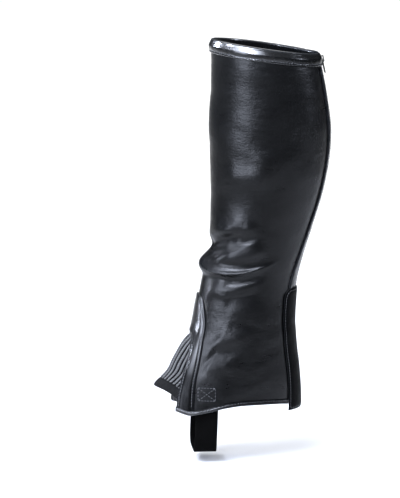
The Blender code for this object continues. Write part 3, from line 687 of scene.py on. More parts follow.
LEATHER_FINISH = make_leather("leather")
TRIM_FINISH = make_leather("trim_leather", base=0.0016, polish=0.28, grain=0.8, shine=0.14)
RIM_FINISH = make_leather("polished_leather", base=0.0016, polish=0.26, grain=0.5, shine=0.14,
                          glaze=Glaze(1, 0.034, -0.010, 0.20))
GUARD_FINISH = make_leather("matt_leather", base=0.0010, polish=0.42, grain=1.2, shine=0.02)
FACING_FINISH = make_leather("facing_leather", base=0.0016, polish=0.28, grain=0.8, shine=0.10,
                             glaze=Glaze(2, -0.276, -0.232, 0.28))
HEM_FINISH = make_leather("hem_leather", base=0.0016, polish=0.26, grain=0.5, shine=0.10,
                          glaze=Glaze(1, -0.042, -0.090, 0.20))
print("six leathers share a grain", round(GRAIN_SIZE / MM, 1), "mm fine")

# %% [markdown]
# ## Flesh side
#
# The inside of leather is its flesh side: a matt grey nap, far from the glazed face. A fine noise for the
# nap and a slow one for the patches are enough, because hardly any light gets in there.

# %% Flesh side
NAP_SIZE, NAP_DEPTH = 0.0009, 0.0003
PATCH_SIZE = 0.02


def make_suede(name):
    board = new_board(name)
    spot = board.spot()
    nap = board.noise(spot, NAP_SIZE, 5, 0.7)
    patches = board.noise(spot, PATCH_SIZE, 3)
    colour = board.blend(nap * 0.6 + patches * 0.4, grey(0.018, 0.95), grey(0.05, 0.92))
    surface = board.bump(nap, NAP_DEPTH, 0.5)
    return board.paint(Base_Color=colour, Roughness=0.93 + nap * 0.05, Normal=surface,
                       Specular_IOR_Level=0.2)


SUEDE_FINISH = make_suede("flesh_side")
print("the nap is", round(NAP_SIZE / MM, 1), "mm fine")

# %% [markdown]
# ## Elastic, webbing and zip cloth
#
# Three woven cloths. The gusset's elastic is a fuzzy knit drawn together by rubber threads. The strap is a
# dense woven elastic with lengthwise ribs, and the zip's tape is a fine twill. A weave follows the cloth,
# so these read the piece's own map, which is in metres. Two waves that cross make the ribs and the picks.

# %% Woven finishes
FUZZ_SIZE = 0.0006
BAND_AT_SCALE_ONE = 0.314


def threads(board, axis, pitch, wobble):
    """Threads side by side along an axis of the cloth's own map, this many metres apart."""
    flat = board.add("ShaderNodeUVMap", {"uv_map": "cloth"})
    return board.add("ShaderNodeTexWave",
                     {"wave_type": "BANDS", "bands_direction": axis, "wave_profile": "SIN"},
                     {"Vector": flat, "Scale": BAND_AT_SCALE_ONE / pitch, "Distortion": wobble,
                      "Detail": 1.0, "Detail Scale": 0.02 / pitch}, 1)


def make_weave(name, rib_size, pick_size, dark, pale, depth, shine, rib_light=0.0):
    """Where the piece itself has crests, this share paints them pale as a painted highlight and the valleys
    dark as painted shade.
    """
    board = new_board(name)
    fuzz = board.noise(board.spot(), FUZZ_SIZE, 4, 0.7)
    ribs, picks = threads(board, "X", rib_size, 0.4), threads(board, "Y", pick_size, 0.8)
    height = ribs * 0.5 + picks * 0.35 + fuzz * 0.3
    # Pale threads, and on the elastic a painted highlight on the rib crests and painted shade in the
    # valleys.
    pale_threads_and_lit_ribs = board.between(height * (1 - rib_light) + wear_and_painted_light_mark(board) * rib_light, 0.25, 0.95)
    return board.paint(Base_Color=board.blend(pale_threads_and_lit_ribs, grey(dark), grey(pale)), Roughness=0.82 + fuzz * 0.12,
                       Normal=board.bump(height, depth, 0.8), Specular_IOR_Level=shine)


# On the elastic the pale colour is a painted highlight on the rib crests and the near-black is painted
# shade in the valleys.
ELASTIC_FINISH = make_weave("elastic", 0.0008, 0.0011, 0.0010, 0.140, 0.00035, 0.08, 0.80)
WEBBING_FINISH = make_weave("webbing", 0.0011, 0.0007, 0.0006, 0.003, 0.00025, 0.03)
TAPE_FINISH = make_weave("zip_tape_cloth", 0.0006, 0.0006, 0.002, 0.010, 0.0002, 0.10)
print("three woven cloths:", ELASTIC_FINISH.name, WEBBING_FINISH.name, TAPE_FINISH.name)

# %% [markdown]
# ## Thread, teeth and metal
#
# The thread is bonded and slightly waxed, so it shines a little more than the leather and makes the rows of
# stitches show. The zip's teeth are moulded plastic, and the slider is cast metal under black enamel, worn
# where fingers touch it.

# %% Thread, teeth and metal
def make_hard(name, dark, pale, roughness, metallic, wear_size):
    board = new_board(name)
    spot = board.spot()
    wear = board.between(board.noise(spot, wear_size, 4, 0.65), 0.55, 0.75)
    scratches = board.noise(spot, wear_size / 6, 3)
    return board.paint(Base_Color=board.blend(wear, dark, pale), Metallic=metallic,
                       Roughness=roughness + scratches * 0.15 - wear * 0.05,
                       Normal=board.bump(scratches, 0.00004, 0.4))


THREAD_FINISH = make_hard("thread", grey(0.040, 1.1), grey(0.100, 1.1), 0.40, 0.0, 0.0006)
TEETH_FINISH = make_hard("teeth", grey(0.010), grey(0.022), 0.36, 0.0, 0.002)
ENAMEL_FINISH = make_hard("enamel", grey(0.020), grey(0.090), 0.36, 0.85, 0.0025)
print("three hard finishes:", THREAD_FINISH.name, TEETH_FINISH.name, ENAMEL_FINISH.name)

# %% [markdown]
# ## Cloth on the form
#
# One helper makes every sheet. It starts from a flat grid, asks where each point lies on the form, and
# moves it there. Points of neighbouring grids that meet are merged. Then the Solidify modifier gives the
# sheet its real thickness towards the leg, and Bevel takes the sharpness off the cut edges.

# %% Pieces and meshes
SHARP = math.radians(50)
# The third layer marks wear on leather, and painted highlight and painted shade on the elastic.
LAYERS = ("arc", "height", "wear_and_painted_light")


def to_mesh(bm, name):
    mesh = bpy.data.meshes.new(name)
    bm.to_mesh(mesh)
    bm.free()
    return mesh


def new_piece(name, mesh, finishes):
    thing = bpy.data.objects.new(name, mesh)
    bpy.context.scene.collection.objects.link(thing)
    for finish in finishes:
        mesh.materials.append(finish)
    return thing


def piece_with_map(bm, name, finishes):
    """The bmesh as a piece, with a map in metres made from its arc and height."""
    mesh = to_mesh(bm, name)
    corner = np.zeros(len(mesh.loops), int)
    mesh.loops.foreach_get("vertex_index", corner)
    flat = np.zeros((len(mesh.vertices), 2))
    for column, layer in enumerate(LAYERS[:2]):
        values = np.zeros(len(mesh.vertices))
        mesh.attributes[layer].data.foreach_get("value", values)
        flat[:, column] = values * MM
    made = mesh.uv_layers.new(name="cloth")
    made.data.foreach_set("uv", flat[corner].ravel())
    return new_piece(name, mesh, finishes)


def settle(thing):
    """Applies the modifiers, shades it smooth and keeps the real corners sharp."""
    graph = bpy.context.evaluated_depsgraph_get()
    mesh = bpy.data.meshes.new_from_object(thing.evaluated_get(graph))
    thing.modifiers.clear()
    thing.data = mesh
    mesh.shade_smooth()
    mesh.set_sharp_from_angle(angle=SHARP)
    return thing


def finish_piece(thing, slot, *nodes):
    """Attaches the piece to the root body, prints what it is made of and its triangle count, and hides the
    solids that it stands for.
    """
    triangles = sum(len(face.vertices) - 2 for face in thing.data.polygons)
    print(thing.name, "is in the", slot, "slot, with", triangles, "triangles")
    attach(thing, "root")
    if nodes:
        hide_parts(*nodes)


print("corners sharper than", round(math.degrees(SHARP)), "degrees stay sharp")

# %% Cloth helper
WELD = 0.00001
EDGE_SEGMENTS = 2
EDGE_ANGLE = math.radians(60)
SIDES = ((1, "near"), (-1, "far"))


def new_sheet():
    """An empty bmesh whose corners can remember their arc, height, and their wear and painted light."""
    bm = bmesh.new()
    for name in LAYERS:
        bm.verts.layers.float.new(name)
    return bm


def flat_grid(bm, across, along):
    """A grid's corners, and how far right (u) and down (v) each one lies, seen from outside."""
    corners = bmesh.ops.create_grid(bm, x_segments=across, y_segments=along, size=0.5)["verts"]
    flat = np.array([corner.co for corner in corners])
    return corners, flat[:, 0] + 0.5, 0.5 - flat[:, 1]


def move_corners(bm, corners, points, arc, height, wear_and_painted_light):
    layers = [bm.verts.layers.float.get(name) for name in LAYERS]
    for corner, point, *marks in zip(corners, points, arc, height, np.broadcast_to(wear_and_painted_light, arc.shape)):
        corner.co = point
        for layer, mark in zip(layers, marks):
            corner[layer] = mark


def grid_patch(bm, across, along, lay):
    """One grid, moved onto the form."""
    corners, u, v = flat_grid(bm, across, along)
    arc, height, out, wear_and_painted_light = lay(u, v)
    move_corners(bm, corners, place(arc, height, out), arc, height, wear_and_painted_light)


def give_wall(thing, wall, edge):
    """A wall towards the leg, in the piece's last finish, with rounded edges."""
    thicken = thing.modifiers.new("wall", "SOLIDIFY")
    thicken.thickness = wall * MM
    thicken.offset = -1
    thicken.material_offset = thicken.material_offset_rim = len(thing.data.materials) - 1
    if edge:
        rounding = thing.modifiers.new("edge", "BEVEL")
        rounding.width = edge * MM
        rounding.segments = EDGE_SEGMENTS
        rounding.limit_method = "ANGLE"
        rounding.angle_limit = EDGE_ANGLE
        rounding.material = -1
    return settle(thing)


def cloth(name, finishes, lays, across, along, wall, edge=0.45):
    """A sheet from one or more grids that meet."""
    bm = new_sheet()
    for lay in lays:
        grid_patch(bm, across, along, lay)
    bmesh.ops.remove_doubles(bm, verts=bm.verts, dist=WELD)
    return give_wall(piece_with_map(bm, name, finishes), wall, edge)


def on_side(side, lay):
    """A grid on one side of the leg. lay is told how far it is from the front, as a share, and v."""
    return lambda u, v: lay(side, u if side > 0 else 1 - u, v)


def both_sides(lay):
    return [on_side(side, lay) for side, name in SIDES]


print("grid points closer than", WELD / MM, "mm are merged")

# %% [markdown]
# ## Small unevenness
#
# A perfectly smooth form would look like plastic pipe. Slow waves of a few tenths of a millimetre,
# longer across than down, make the highlights swell and thin. A stitched line also pulls the leather down
# into a shallow groove that is deeper at each stitch.

# %% Unevenness and stitch grooves
STITCH_PITCH = 3.1
STITCH_PULL = 0.35


def wander(arc, height):
    """Slow waves in millimetres."""
    return (0.22 * np.sin(height / 9.0 + 1.3 * np.sin(arc / 21.0))
            + 0.26 * np.sin(height / 15.5 + arc / 34.0 + 0.8)
            + 0.16 * np.sin(arc / 11.0 + 1.1 * np.sin(height / 19.0))
            + 0.10 * np.sin(height / 4.6 + 2.0 * np.sin(arc / 13.0 + 0.6)))


def groove(distance, along, depth=0.35, width=1.1):
    """A sewn groove: distance is across it and along is the length along it."""
    pull = 1 + STITCH_PULL * np.cos(2 * math.pi * along / STITCH_PITCH)
    return -depth * pull * np.exp(-(distance / width) ** 2)


print("a groove is", round(-float(groove(0.0, 0.0)), 2), "mm deep at a stitch")

# %% [markdown]
# ## Main panel
#
# The leg is one piece of leather round the front, from zip side to zip side, with its instep cut away. Each
# side is a grid from the centre front to the rear edge, and the two meet down the shin. The rows crowd
# together at the ankle, where the folds are, because a fold needs several faces across it to look round.

# %% Main panel
PANEL_ACROSS = 100
PANEL_ALONG = 196
EDGE_LIFT = BINDING_WALL + SEAM_GAP
FOLDS_TOP = -84.0
CALF_SHARE, FOLD_SHARE = 0.30, 0.48
FOOT_SHARE = 1 - CALF_SHARE - FOLD_SHARE
FRONT_CROWDING = 0.24
LEAN = 1.6
LEAN_DEPTH = 10.0
LEAN_RAMP = 22
CALM_REACH = 12
CREST_HEIGHT = 4.0
WORN_EDGE = 2.5


def rim_lean(arc, height):
    """The collar leans in towards the leg over its last few millimetres, but not at the zip."""
    from_rim = rim_height(arc) - height
    from_zip = half_girth(height) - PLACKET_EDGE - np.abs(arc)
    return LEAN * (1 - smoothstep((from_rim - 0.5) / LEAN_DEPTH)) * smoothstep((from_zip - 4) / LEAN_RAMP)


def panel_lay(side, share, v):
    share = lerp(share, share * share, FRONT_CROWDING)

    def arc_of(height):
        return lerp(notch_arc(height), rear_edge(height), share)

    rim = meet(arc_of, rim_height, np.full_like(v, RIM_BACK)) - EDGE_LIFT
    hem = meet_hem(arc_of, v) + EDGE_LIFT
    calf = lerp(rim, FOLDS_TOP, v / CALF_SHARE)
    ankle = lerp(FOLDS_TOP, NOTCH_TOP, (v - CALF_SHARE) / FOLD_SHARE)
    foot = lerp(NOTCH_TOP, hem, (v - CALF_SHARE - FOLD_SHARE) / FOOT_SHARE)
    height = np.where(v < CALF_SHARE, calf, np.where(v < CALF_SHARE + FOLD_SHARE, ankle, foot))
    arc = side * arc_of(height)
    to_edge = rear_edge(height) - np.abs(arc)
    out = wander(arc, height) * smoothstep(to_edge / CALM_REACH) - rim_lean(arc, height)
    crest = smoothstep(fold_rise(arc, height) / CREST_HEIGHT)
    edge = 1 - smoothstep(to_edge / WORN_EDGE)
    return arc, height, out, np.maximum(crest * 0.5, edge * 0.7)


main_panel = cloth("leg_panel", [LEATHER_FINISH, SUEDE_FINISH],
                   both_sides(panel_lay), PANEL_ACROSS, PANEL_ALONG, LEATHER)
finish_piece(main_panel, "leather", "main_panel")

# %% [markdown]
# ## Folded bindings
#
# A strip of thinner leather is folded over the rim, and another over each side of the foot edge. Its
# section runs up one face, round the edge and down the other, and swells a little on the outside, as folded
# leather does. Where the foot binding also holds the facing it stands out further.

# %% Folded bindings
Binding = namedtuple("Binding", "sign outside inside turn row swell_depths swells")
RIM_BAND = Binding(1, 15.0, 11.0, 1.8, 12.6,
                   (1.8, 3.0, 7.2, 11.4, 13.4, 15.0), (0.0, 0.5, 1.3, 0.5, 0.3, 0.1))
HEM_BAND = Binding(-1, 5.5, 6.0, 1.6, 4.1, (1.6, 3.0, 5.5), (0.0, 0.6, 0.1))
STRIP_WALL = BINDING_WALL - 0.25
THIN_EDGE = 0.3
BAND_GROOVE = 0.45
INNER_FACE = -LEATHER - SEAM_GAP
INSIDE_SHARE, TURN_SHARE = 0.20, 0.26
OUTSIDE_SHARE = 1 - INSIDE_SHARE - TURN_SHARE
BAND_TUCK = 0.5
BAND_PUCKER = 0.12


def band_swell(band, depth):
    return np.interp(depth, band.swell_depths, band.swells)


def binding_lay(band, arc_between, edge_height, hold, lean=None):
    """arc_between(share, height) runs from the first end of the strip to its last."""
    def lay(side, share, v):
        turned = v if band.sign > 0 else 1 - v

        def arc_of(height):
            return arc_between(share, height)

        edge = meet(arc_of, edge_height, edge_height(np.zeros_like(v)))
        high = hold(np.abs(arc_of(edge)))
        middle, radius = (high + INNER_FACE) / 2, (high - INNER_FACE) / 2
        angle = math.pi * np.clip((turned - INSIDE_SHARE) / TURN_SHARE, 0, 1)
        down = np.clip((turned - INSIDE_SHARE - TURN_SHARE) / OUTSIDE_SHARE, 0, 1)
        depth = np.where(turned < INSIDE_SHARE, lerp(band.inside, band.turn, turned / INSIDE_SHARE),
                         np.where(down > 0, lerp(band.turn, band.outside, down),
                                  band.turn * (1 - np.sin(angle))))
        height = edge - band.sign * depth
        arc = side * arc_of(height)
        tuck = BAND_TUCK * smoothstep((down - 0.93) / 0.07)
        sewn = groove(depth - band.row, arc, BAND_GROOVE, 1.0)
        beside_row = np.exp(-((depth - band.row) / 4) ** 2)
        pucker = BAND_PUCKER * np.sin(arc / 1.9 + np.sin(arc / 7.0)) * beside_row
        out = np.where(turned < INSIDE_SHARE, INNER_FACE - BINDING_WALL,
                       middle - (radius + BINDING_WALL) * np.cos(angle))
        out = out + (band_swell(band, depth) - tuck + sewn + pucker) * (down > 0)
        if lean:
            out = out - lean(arc, height)
        wear_and_painted_light = np.exp(-(depth / 2.2) ** 2) + 0.5 * smoothstep((down - 0.9) / 0.1)
        return arc, height, out, wear_and_painted_light
    return lay


print("the rim's row of stitches is", RIM_BAND.row, "mm down")


# %% Rim binding
def rim_arc(share, height):
    return share * (half_girth(height) - PLACKET_EDGE)


def rim_hold(arc):
    return np.full_like(arc, SEAM_GAP)


rim_lay = binding_lay(RIM_BAND, rim_arc, rim_height, rim_hold, rim_lean)
top_binding = cloth("rim_binding", [RIM_FINISH], both_sides(rim_lay), 240, 46, STRIP_WALL, THIN_EDGE)
finish_piece(top_binding, "leather", "top_binding")

# %% Foot bindings
HOLD_LAP = 4.0
HOLD_RAMP = 10.0
GUARD_FRONT = 37.0


def hem_arc(share, height):
    rear = half_girth(height) - GUARD_FRONT - SEAM_GAP
    return lerp(facing_inner(height), rear, share)


def hem_hold(arc):
    over_facing = 1 - smoothstep((arc - FACING_END - HOLD_LAP) / HOLD_RAMP)
    return SEAM_GAP + (THIN_LEATHER + SEAM_GAP) * over_facing


hem_lay = binding_lay(HEM_BAND, hem_arc, hem_height, hem_hold)
for side, name in SIDES:
    hem_binding = cloth("foot_binding_" + name, [HEM_FINISH], [on_side(side, hem_lay)],
                        150, 26, STRIP_WALL, THIN_EDGE)
    finish_piece(hem_binding, "leather", "hem_binding_" + name)

# %% [markdown]
# ## Instep facing
#
# An upside-down V of leather covers the cut edge of the opening and frames the elastic. It lies over the
# panel, so its outer face is its own thickness above the panel's. Both edges roll down a little, and a row
# of stitches runs close inside each. The grid is finer at the top, where the two legs of the V meet.

# %% Instep facing
FACING_ROW = 2.6
FACING_LIFT = SEAM_GAP + THIN_LEATHER
FACING_WALL = THIN_LEATHER - 0.6
FACING_BEND = (OPENING_TOP - ELASTIC_TOP) / (OPENING_TOP - HEM[0].height)
ARCH_CROWDING, LEG_CROWDING = 1.6, 1.3
NO_EDGE = 30
ROLL_REACH = 0.8
CROWN, CROWN_REACH = 0.5, 7


def facing_lay(side, share, v):
    def arc_of(height):
        return lerp(facing_inner(height), facing_outer(height), share)

    hem = meet_hem(arc_of, v) + EDGE_LIFT
    arch = lerp(OPENING_TOP, ELASTIC_TOP, (v / FACING_BEND) ** ARCH_CROWDING)
    down_leg = np.clip((v - FACING_BEND) / (1 - FACING_BEND), 0, 1) ** LEG_CROWDING
    height = np.where(v < FACING_BEND, arch, lerp(ELASTIC_TOP, hem, down_leg))
    arc = arc_of(height)
    from_outer = facing_outer(height) - arc
    from_inner = arc - facing_inner(height) + NO_EDGE * (height > ELASTIC_TOP)
    roll = 0.9 * np.exp(-from_outer / ROLL_REACH) + 0.7 * np.exp(-from_inner / ROLL_REACH)
    crown = CROWN * smoothstep(from_outer / CROWN_REACH) * smoothstep(from_inner / CROWN_REACH)
    sewn = groove(from_outer - FACING_ROW, height) + groove(from_inner - FACING_ROW, height)
    out = FACING_LIFT + crown - roll + sewn + 0.4 * wander(arc * side, height)
    wear_and_painted_light = 0.8 * np.exp(-from_outer / 1.5) + 0.8 * np.exp(-from_inner / 1.5)
    return side * arc, height, out, wear_and_painted_light


facing = cloth("instep_facing", [FACING_FINISH, SUEDE_FINISH],
               both_sides(facing_lay), 34, 120, FACING_WALL, THIN_EDGE)
finish_piece(facing, "leather", "gusset_facing")

# %% [markdown]
# ## Elastic gusset
#
# Shirred elastic lets the foot edge stretch open. Rubber threads draw the cloth into ribs along
# the centre front line, with narrow valleys between them, and along each rib the cloth puckers. The grid is
# fine enough for both. Between its sewn edges the cloth swells out, as it does when worn. Its rib crests
# are painted paler as a painted highlight, and its valleys darker as painted shade.

# %% Elastic form
ELASTIC_TUCK = 4.0
ELASTIC_LEVEL = -0.5
ELASTIC_SWELL = 2.0
ELASTIC_FLAT = 4.0
ELASTIC_RAMP = 11.0
BAND_MIDDLE = -275.5
BAND_ARCH = 0.0058
LEG_END = -300


def band_top(arc):
    return BAND_MIDDLE - BAND_ARCH * arc * arc


def elastic_edge(height):
    ease = smoothstep((ELASTIC_TOP + ELASTIC_TUCK - height) / ELASTIC_TUCK)
    return facing_inner(np.minimum(height, ELASTIC_TOP)) + ELASTIC_TUCK * ease


def elastic_top(arc):
    heights = np.linspace(ELASTIC_TOP + ELASTIC_TUCK, LEG_END, 155)
    return np.interp(np.abs(arc), elastic_edge(heights), heights)


def elastic_level(arc, height):
    from_edge = facing_inner(np.minimum(height, ELASTIC_TOP)) - np.abs(arc)
    return ELASTIC_LEVEL + ELASTIC_SWELL * smoothstep((from_edge - ELASTIC_FLAT) / ELASTIC_RAMP)


ELASTIC_REACH = float(elastic_edge(meet(elastic_edge, band_top, np.array(BAND_MIDDLE))))
print("the elastic reaches", round(ELASTIC_REACH, 1), "mm to each side of the front")

# %% Elastic gusset
ELASTIC_WALL = 1.1
RIB_PITCH = 5.2
RIB_RISE = 1.5
VALLEY_WIDTH = 1.15
PUCKER_PITCH = 2.3
PUCKER_RISE = 0.24
SEWN_RAMP = 2.5


def elastic_lay(u, v):
    arc = lerp(-ELASTIC_REACH, ELASTIC_REACH, u)
    height = lerp(elastic_top(arc), band_top(arc), v)
    rib = np.round(arc / RIB_PITCH)
    to_valley = RIB_PITCH / 2 - np.abs(arc - rib * RIB_PITCH)
    valley = np.exp(-(to_valley / VALLEY_WIDTH) ** 2)
    free = smoothstep((ELASTIC_REACH - np.abs(arc)) / SEWN_RAMP)
    phase = 2.4 * np.sin(rib * 2.7)
    pucker = np.sin(2 * math.pi * height / PUCKER_PITCH + phase + 0.7 * np.sin(height / 5.3 + rib))
    out = elastic_level(arc, height) + free * (PUCKER_RISE * pucker * (1 - valley) - RIB_RISE * valley)
    # The last value paints the rib crests and outward puckers paler, a painted highlight, and the valleys
    # darker, painted shade.
    return arc, height, out, (1 - valley) * (0.85 + 0.15 * pucker)


gusset = cloth("elastic_gusset", [ELASTIC_FINISH], [elastic_lay], 168, 96, ELASTIC_WALL, edge=0)
finish_piece(gusset, "elastic", "front_gusset")

# %% [markdown]
# ## Rolled band
#
# A soft roll ends the elastic. A roll is a grid too, bent round until its two long sides meet. The ends are
# filled, and since nothing tells Blender which way such a grid faces, its normals are worked out again.

# %% Rolled band
BAND_HEM = 1.5
BAND_DEPTH = 8.5
BAND_WALL = 2.6
BAND_SQUARENESS = (0.75, 0.85)
TUCKED = 0.98


def tube(name, finishes, lay, around, along):
    """A closed roll. lay(turn, run) gives arc, height, out, and wear and painted light; turn goes round it
    and run along it.
    """
    bm = new_sheet()
    grid_patch(bm, around, along, lay)
    bmesh.ops.remove_doubles(bm, verts=bm.verts, dist=WELD)
    bmesh.ops.holes_fill(bm, edges=[edge for edge in bm.edges if edge.is_boundary], sides=0)
    bmesh.ops.recalc_face_normals(bm, faces=bm.faces)
    return settle(piece_with_map(bm, name, finishes))


def squarish(wave, power):
    return np.sign(wave) * np.abs(wave) ** power


def band_lay(turn, run):
    reach = ELASTIC_REACH - BAND_HEM
    arc = lerp(-reach, reach, run)
    top = band_top(arc) - SEAM_GAP
    angle = 2 * math.pi * turn
    across = squarish(np.cos(angle), BAND_SQUARENESS[0])
    over = squarish(np.sin(angle), BAND_SQUARENESS[1])
    fuzz = 0.14 * np.sin(arc * 2.3 + 3 * np.sin(angle * 2)) + 0.10 * np.sin(arc * 1.1 + angle * 3)
    height = top - BAND_DEPTH / 2 * (1 - across * TUCKED)
    out = elastic_level(arc, top) - BAND_WALL / 2 + (BAND_WALL / 2 + fuzz) * over
    return arc, height, out, np.full_like(arc, 0.3)


band = tube("gusset_edge_band", [ELASTIC_FINISH], band_lay, 28, 150)
finish_piece(band, "elastic", "gusset_band")

# %% [markdown]
# ## Back of the leg
#
# Down the back, a piped roll ends the panel on each side, then a narrow placket, then the zip. Below the
# ankle a plain guard covers the same strip. All of them are measured from the centre back.

# %% Placket
HEM_BACK = -302.0
GUARD_TOP = -172.0
PIPING_RADIUS = 2.1
PLACKET_ROW = 2.2
BACK_TOP = RIM_BACK - BINDING_WALL - SEAM_GAP


def round_the_back(side, from_back, height):
    """Arc of a place that lies this far from the centre back."""
    return side * (half_girth(height) - from_back)


def placket_lay(side, share, v):
    height = lerp(BACK_TOP, HEM_BACK, v)
    beside_piping = smoothstep((height - GUARD_TOP) / 1.5)
    front = from_back_edge(height) - SEAM_GAP - (2 * PIPING_RADIUS + SEAM_GAP) * beside_piping
    from_back = lerp(front, PLACKET_EDGE, share)
    to_edge = from_back - PLACKET_EDGE
    crown = 0.25 * smoothstep(to_edge / 4) * smoothstep((front - from_back) / 3)
    roll = 0.6 * np.exp(-to_edge / 0.7)
    out = crown - roll + groove(to_edge - PLACKET_ROW, height) + 0.35 * wander(from_back * 2, height)
    return round_the_back(side, from_back, height), height, out, 0.9 * np.exp(-to_edge / 1.2)


print("the plackets are", BACK_TOP - HEM_BACK, "mm long")

# %% Piping
PIPING_LEVEL = 0.2


def piping_lay(side):
    def lay(turn, run):
        height = lerp(RIM_BACK - RIM_BAND.outside - SEAM_GAP, GUARD_TOP + SEAM_GAP, run)
        angle = 2 * math.pi * turn
        radius = PIPING_RADIUS * (1 + 0.05 * np.sin(height / 2.1 + 2 * np.sin(height / 9)))
        from_back = from_back_edge(height) - PIPING_RADIUS - SEAM_GAP - radius * np.cos(angle) * TUCKED
        out = PIPING_LEVEL + radius * np.sin(angle) * TUCKED
        return round_the_back(side, from_back, height), height, out, 0.5 + 0.5 * np.sin(angle)
    return lay


print("the piping is", 2 * PIPING_RADIUS, "mm across")

# %% Ankle guard
GUARD_BOTTOM = -309.0
GUARD_REAR = 4.5
GUARD_LIFT = 0.4
GUARD_ROW = 2.6
GUARD_TOP_CORNER = (10.0, 12.0)
GUARD_BOTTOM_CORNER = (6.0, 6.0)


def corner_cut(past_edge, corner):
    """How much a rounded corner takes off the height at a distance past its edge."""
    width, height = corner
    reach = np.clip((past_edge + width) / width, 0, 1)
    return height * (1 - np.sqrt(1 - reach ** 2))


def guard_lay(side, share, v):
    from_back = lerp(GUARD_FRONT, GUARD_REAR, (1 - np.cos(math.pi * share)) / 2)
    top = GUARD_TOP - corner_cut(from_back - GUARD_FRONT, GUARD_TOP_CORNER)
    bottom = GUARD_BOTTOM + corner_cut(GUARD_REAR - from_back, GUARD_BOTTOM_CORNER)
    height = lerp(top, bottom, v)
    rim = np.minimum(np.minimum(GUARD_FRONT - from_back, from_back - GUARD_REAR),
                     np.minimum(top - height, height - bottom))
    out = GUARD_LIFT + THIN_LEATHER - 0.8 * np.exp(-rim / 0.8) + 0.35 * smoothstep(rim / 8)
    out = out + groove(rim - GUARD_ROW, height + from_back, 0.3, 1.0) + 0.5 * wander(from_back * 2, height)
    return round_the_back(side, from_back, height), height, out, 0.9 * np.exp(-rim / 1.3)


print("the guards are", GUARD_FRONT - GUARD_REAR, "mm wide")

# %% Zip tape
ZIP_END = -300.0
TAPE_HALF = 16.0
TAPE_WALL = 1.0


def tape_lay(u, v):
    band_end = RIM_BACK - RIM_BAND.inside - SEAM_GAP
    height = lerp(BACK_TOP, ZIP_END, v)
    half = np.where(height < band_end, TAPE_HALF, PLACKET_EDGE - SEAM_GAP)
    out = np.full_like(u, -THIN_LEATHER - SEAM_GAP)
    return half_girth(height) + lerp(-half, half, u), height, out, 0 * u


print("the tape is", 2 * TAPE_HALF, "mm wide")

# %% Sew the back together
PLACKET_WALL = THIN_LEATHER - 0.3
GUARD_WALL = THIN_LEATHER - 0.5

for side, name in SIDES:
    placket = cloth("placket_" + name, [LEATHER_FINISH, SUEDE_FINISH], [on_side(side, placket_lay)],
                    26, 220, PLACKET_WALL, THIN_EDGE)
    finish_piece(placket, "leather", "rear_placket_" + name)
    roll = tube("piping_roll_" + name, [TRIM_FINISH], piping_lay(side), 16, 220)
    finish_piece(roll, "leather", "piping_" + name)
    guard = cloth("heel_guard_" + name, [GUARD_FINISH, SUEDE_FINISH], [on_side(side, guard_lay)],
                  44, 110, GUARD_WALL, THIN_EDGE)
    finish_piece(guard, "leather", "ankle_guard_" + name)

tape = cloth("zip_cloth", [TAPE_FINISH], [tape_lay], 24, 120, TAPE_WALL, edge=0)
finish_piece(tape, "zip", "zip_tape")

# %% [markdown]
# ## Zip teeth
#
# The closed chain is two rows of moulded teeth that take turns across the middle. One tooth is a small
# bevelled block. It is copied along the chain, each copy turned to the slope of the leg, and all of them
# are joined in one mesh. A few dozen faces a tooth is plenty at this size.

# %% Copies in a row
def copies(name, pattern, frames, finish):
    """One mesh with a copy of the pattern in each frame. The pattern is in millimetres."""
    bm = bmesh.new()
    for spot in frames:
        pattern.transform(spot)
        bm.from_mesh(pattern)
        pattern.transform(spot.inverted())
    print(name, "has", len(frames), "copies of a shape with", len(pattern.polygons), "faces")
    return settle(new_piece(name, to_mesh(bm, name), [finish]))


def frame_at(point, across, out):
    """A matrix in metres for a pattern in millimetres: X across, Y out of the leg, Z along."""
    across = across.normalized()
    out = (out - across * out.dot(across)).normalized()
    turn = Matrix((across, out, across.cross(out))).transposed().to_4x4()
    return Matrix.Translation(point) @ turn @ Matrix.Scale(MM, 4)


# %% Zip teeth
TOOTH_PITCH = 2.9
TOOTH_SIZE = Vector((3.5, 2.6, 1.25))
TOOTH_BEVEL = 0.35
TOOTH_REACH = 1.1
CHAIN_LOW = -1.8
CHAIN_HIGH = 1.2
CHAIN_TOP = 72.75


def tooth_block():
    bm = bmesh.new()
    bmesh.ops.create_cube(bm, size=1)
    bmesh.ops.scale(bm, vec=TOOTH_SIZE, verts=bm.verts)
    bmesh.ops.bevel(bm, geom=bm.edges, offset=TOOTH_BEVEL, segments=1, profile=0.5,
                    affect="EDGES", material=-1)
    return to_mesh(bm, "tooth")


def tooth_frames():
    count = int((CHAIN_TOP - ZIP_END) / TOOTH_PITCH * 2)
    heights = CHAIN_TOP - np.arange(count) * TOOTH_PITCH / 2
    low = place(half_girth(heights), heights, np.full_like(heights, CHAIN_LOW))
    high = place(half_girth(heights), heights, np.full_like(heights, CHAIN_HIGH))
    frames = []
    for number, (inner, outer) in enumerate(zip(low, high)):
        side = 1 if number % 2 else -1
        middle = Vector((inner + outer) / 2) + Vector((side * TOOTH_REACH * MM, 0, 0))
        frames.append(frame_at(middle, Vector((1, 0, 0)), Vector(outer - inner)))
    return frames


teeth = copies("zip_teeth", tooth_block(), tooth_frames(), TEETH_FINISH)
finish_piece(teeth, "zip", "zip_chain")

# %% [markdown]
# ## Slider and pull
#
# The slider's body and its pull are already right in the model, with their bridge, window and rounded
# corners, so they stay as they are and only get the enamel.

# %% Slider and pull
for node in ("zip_slider", "zip_pull"):
    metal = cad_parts[node]
    metal.data.materials.clear()
    metal.data.materials.append(ENAMEL_FINISH)
    print(node, "keeps its", len(metal.data.polygons), "faces")

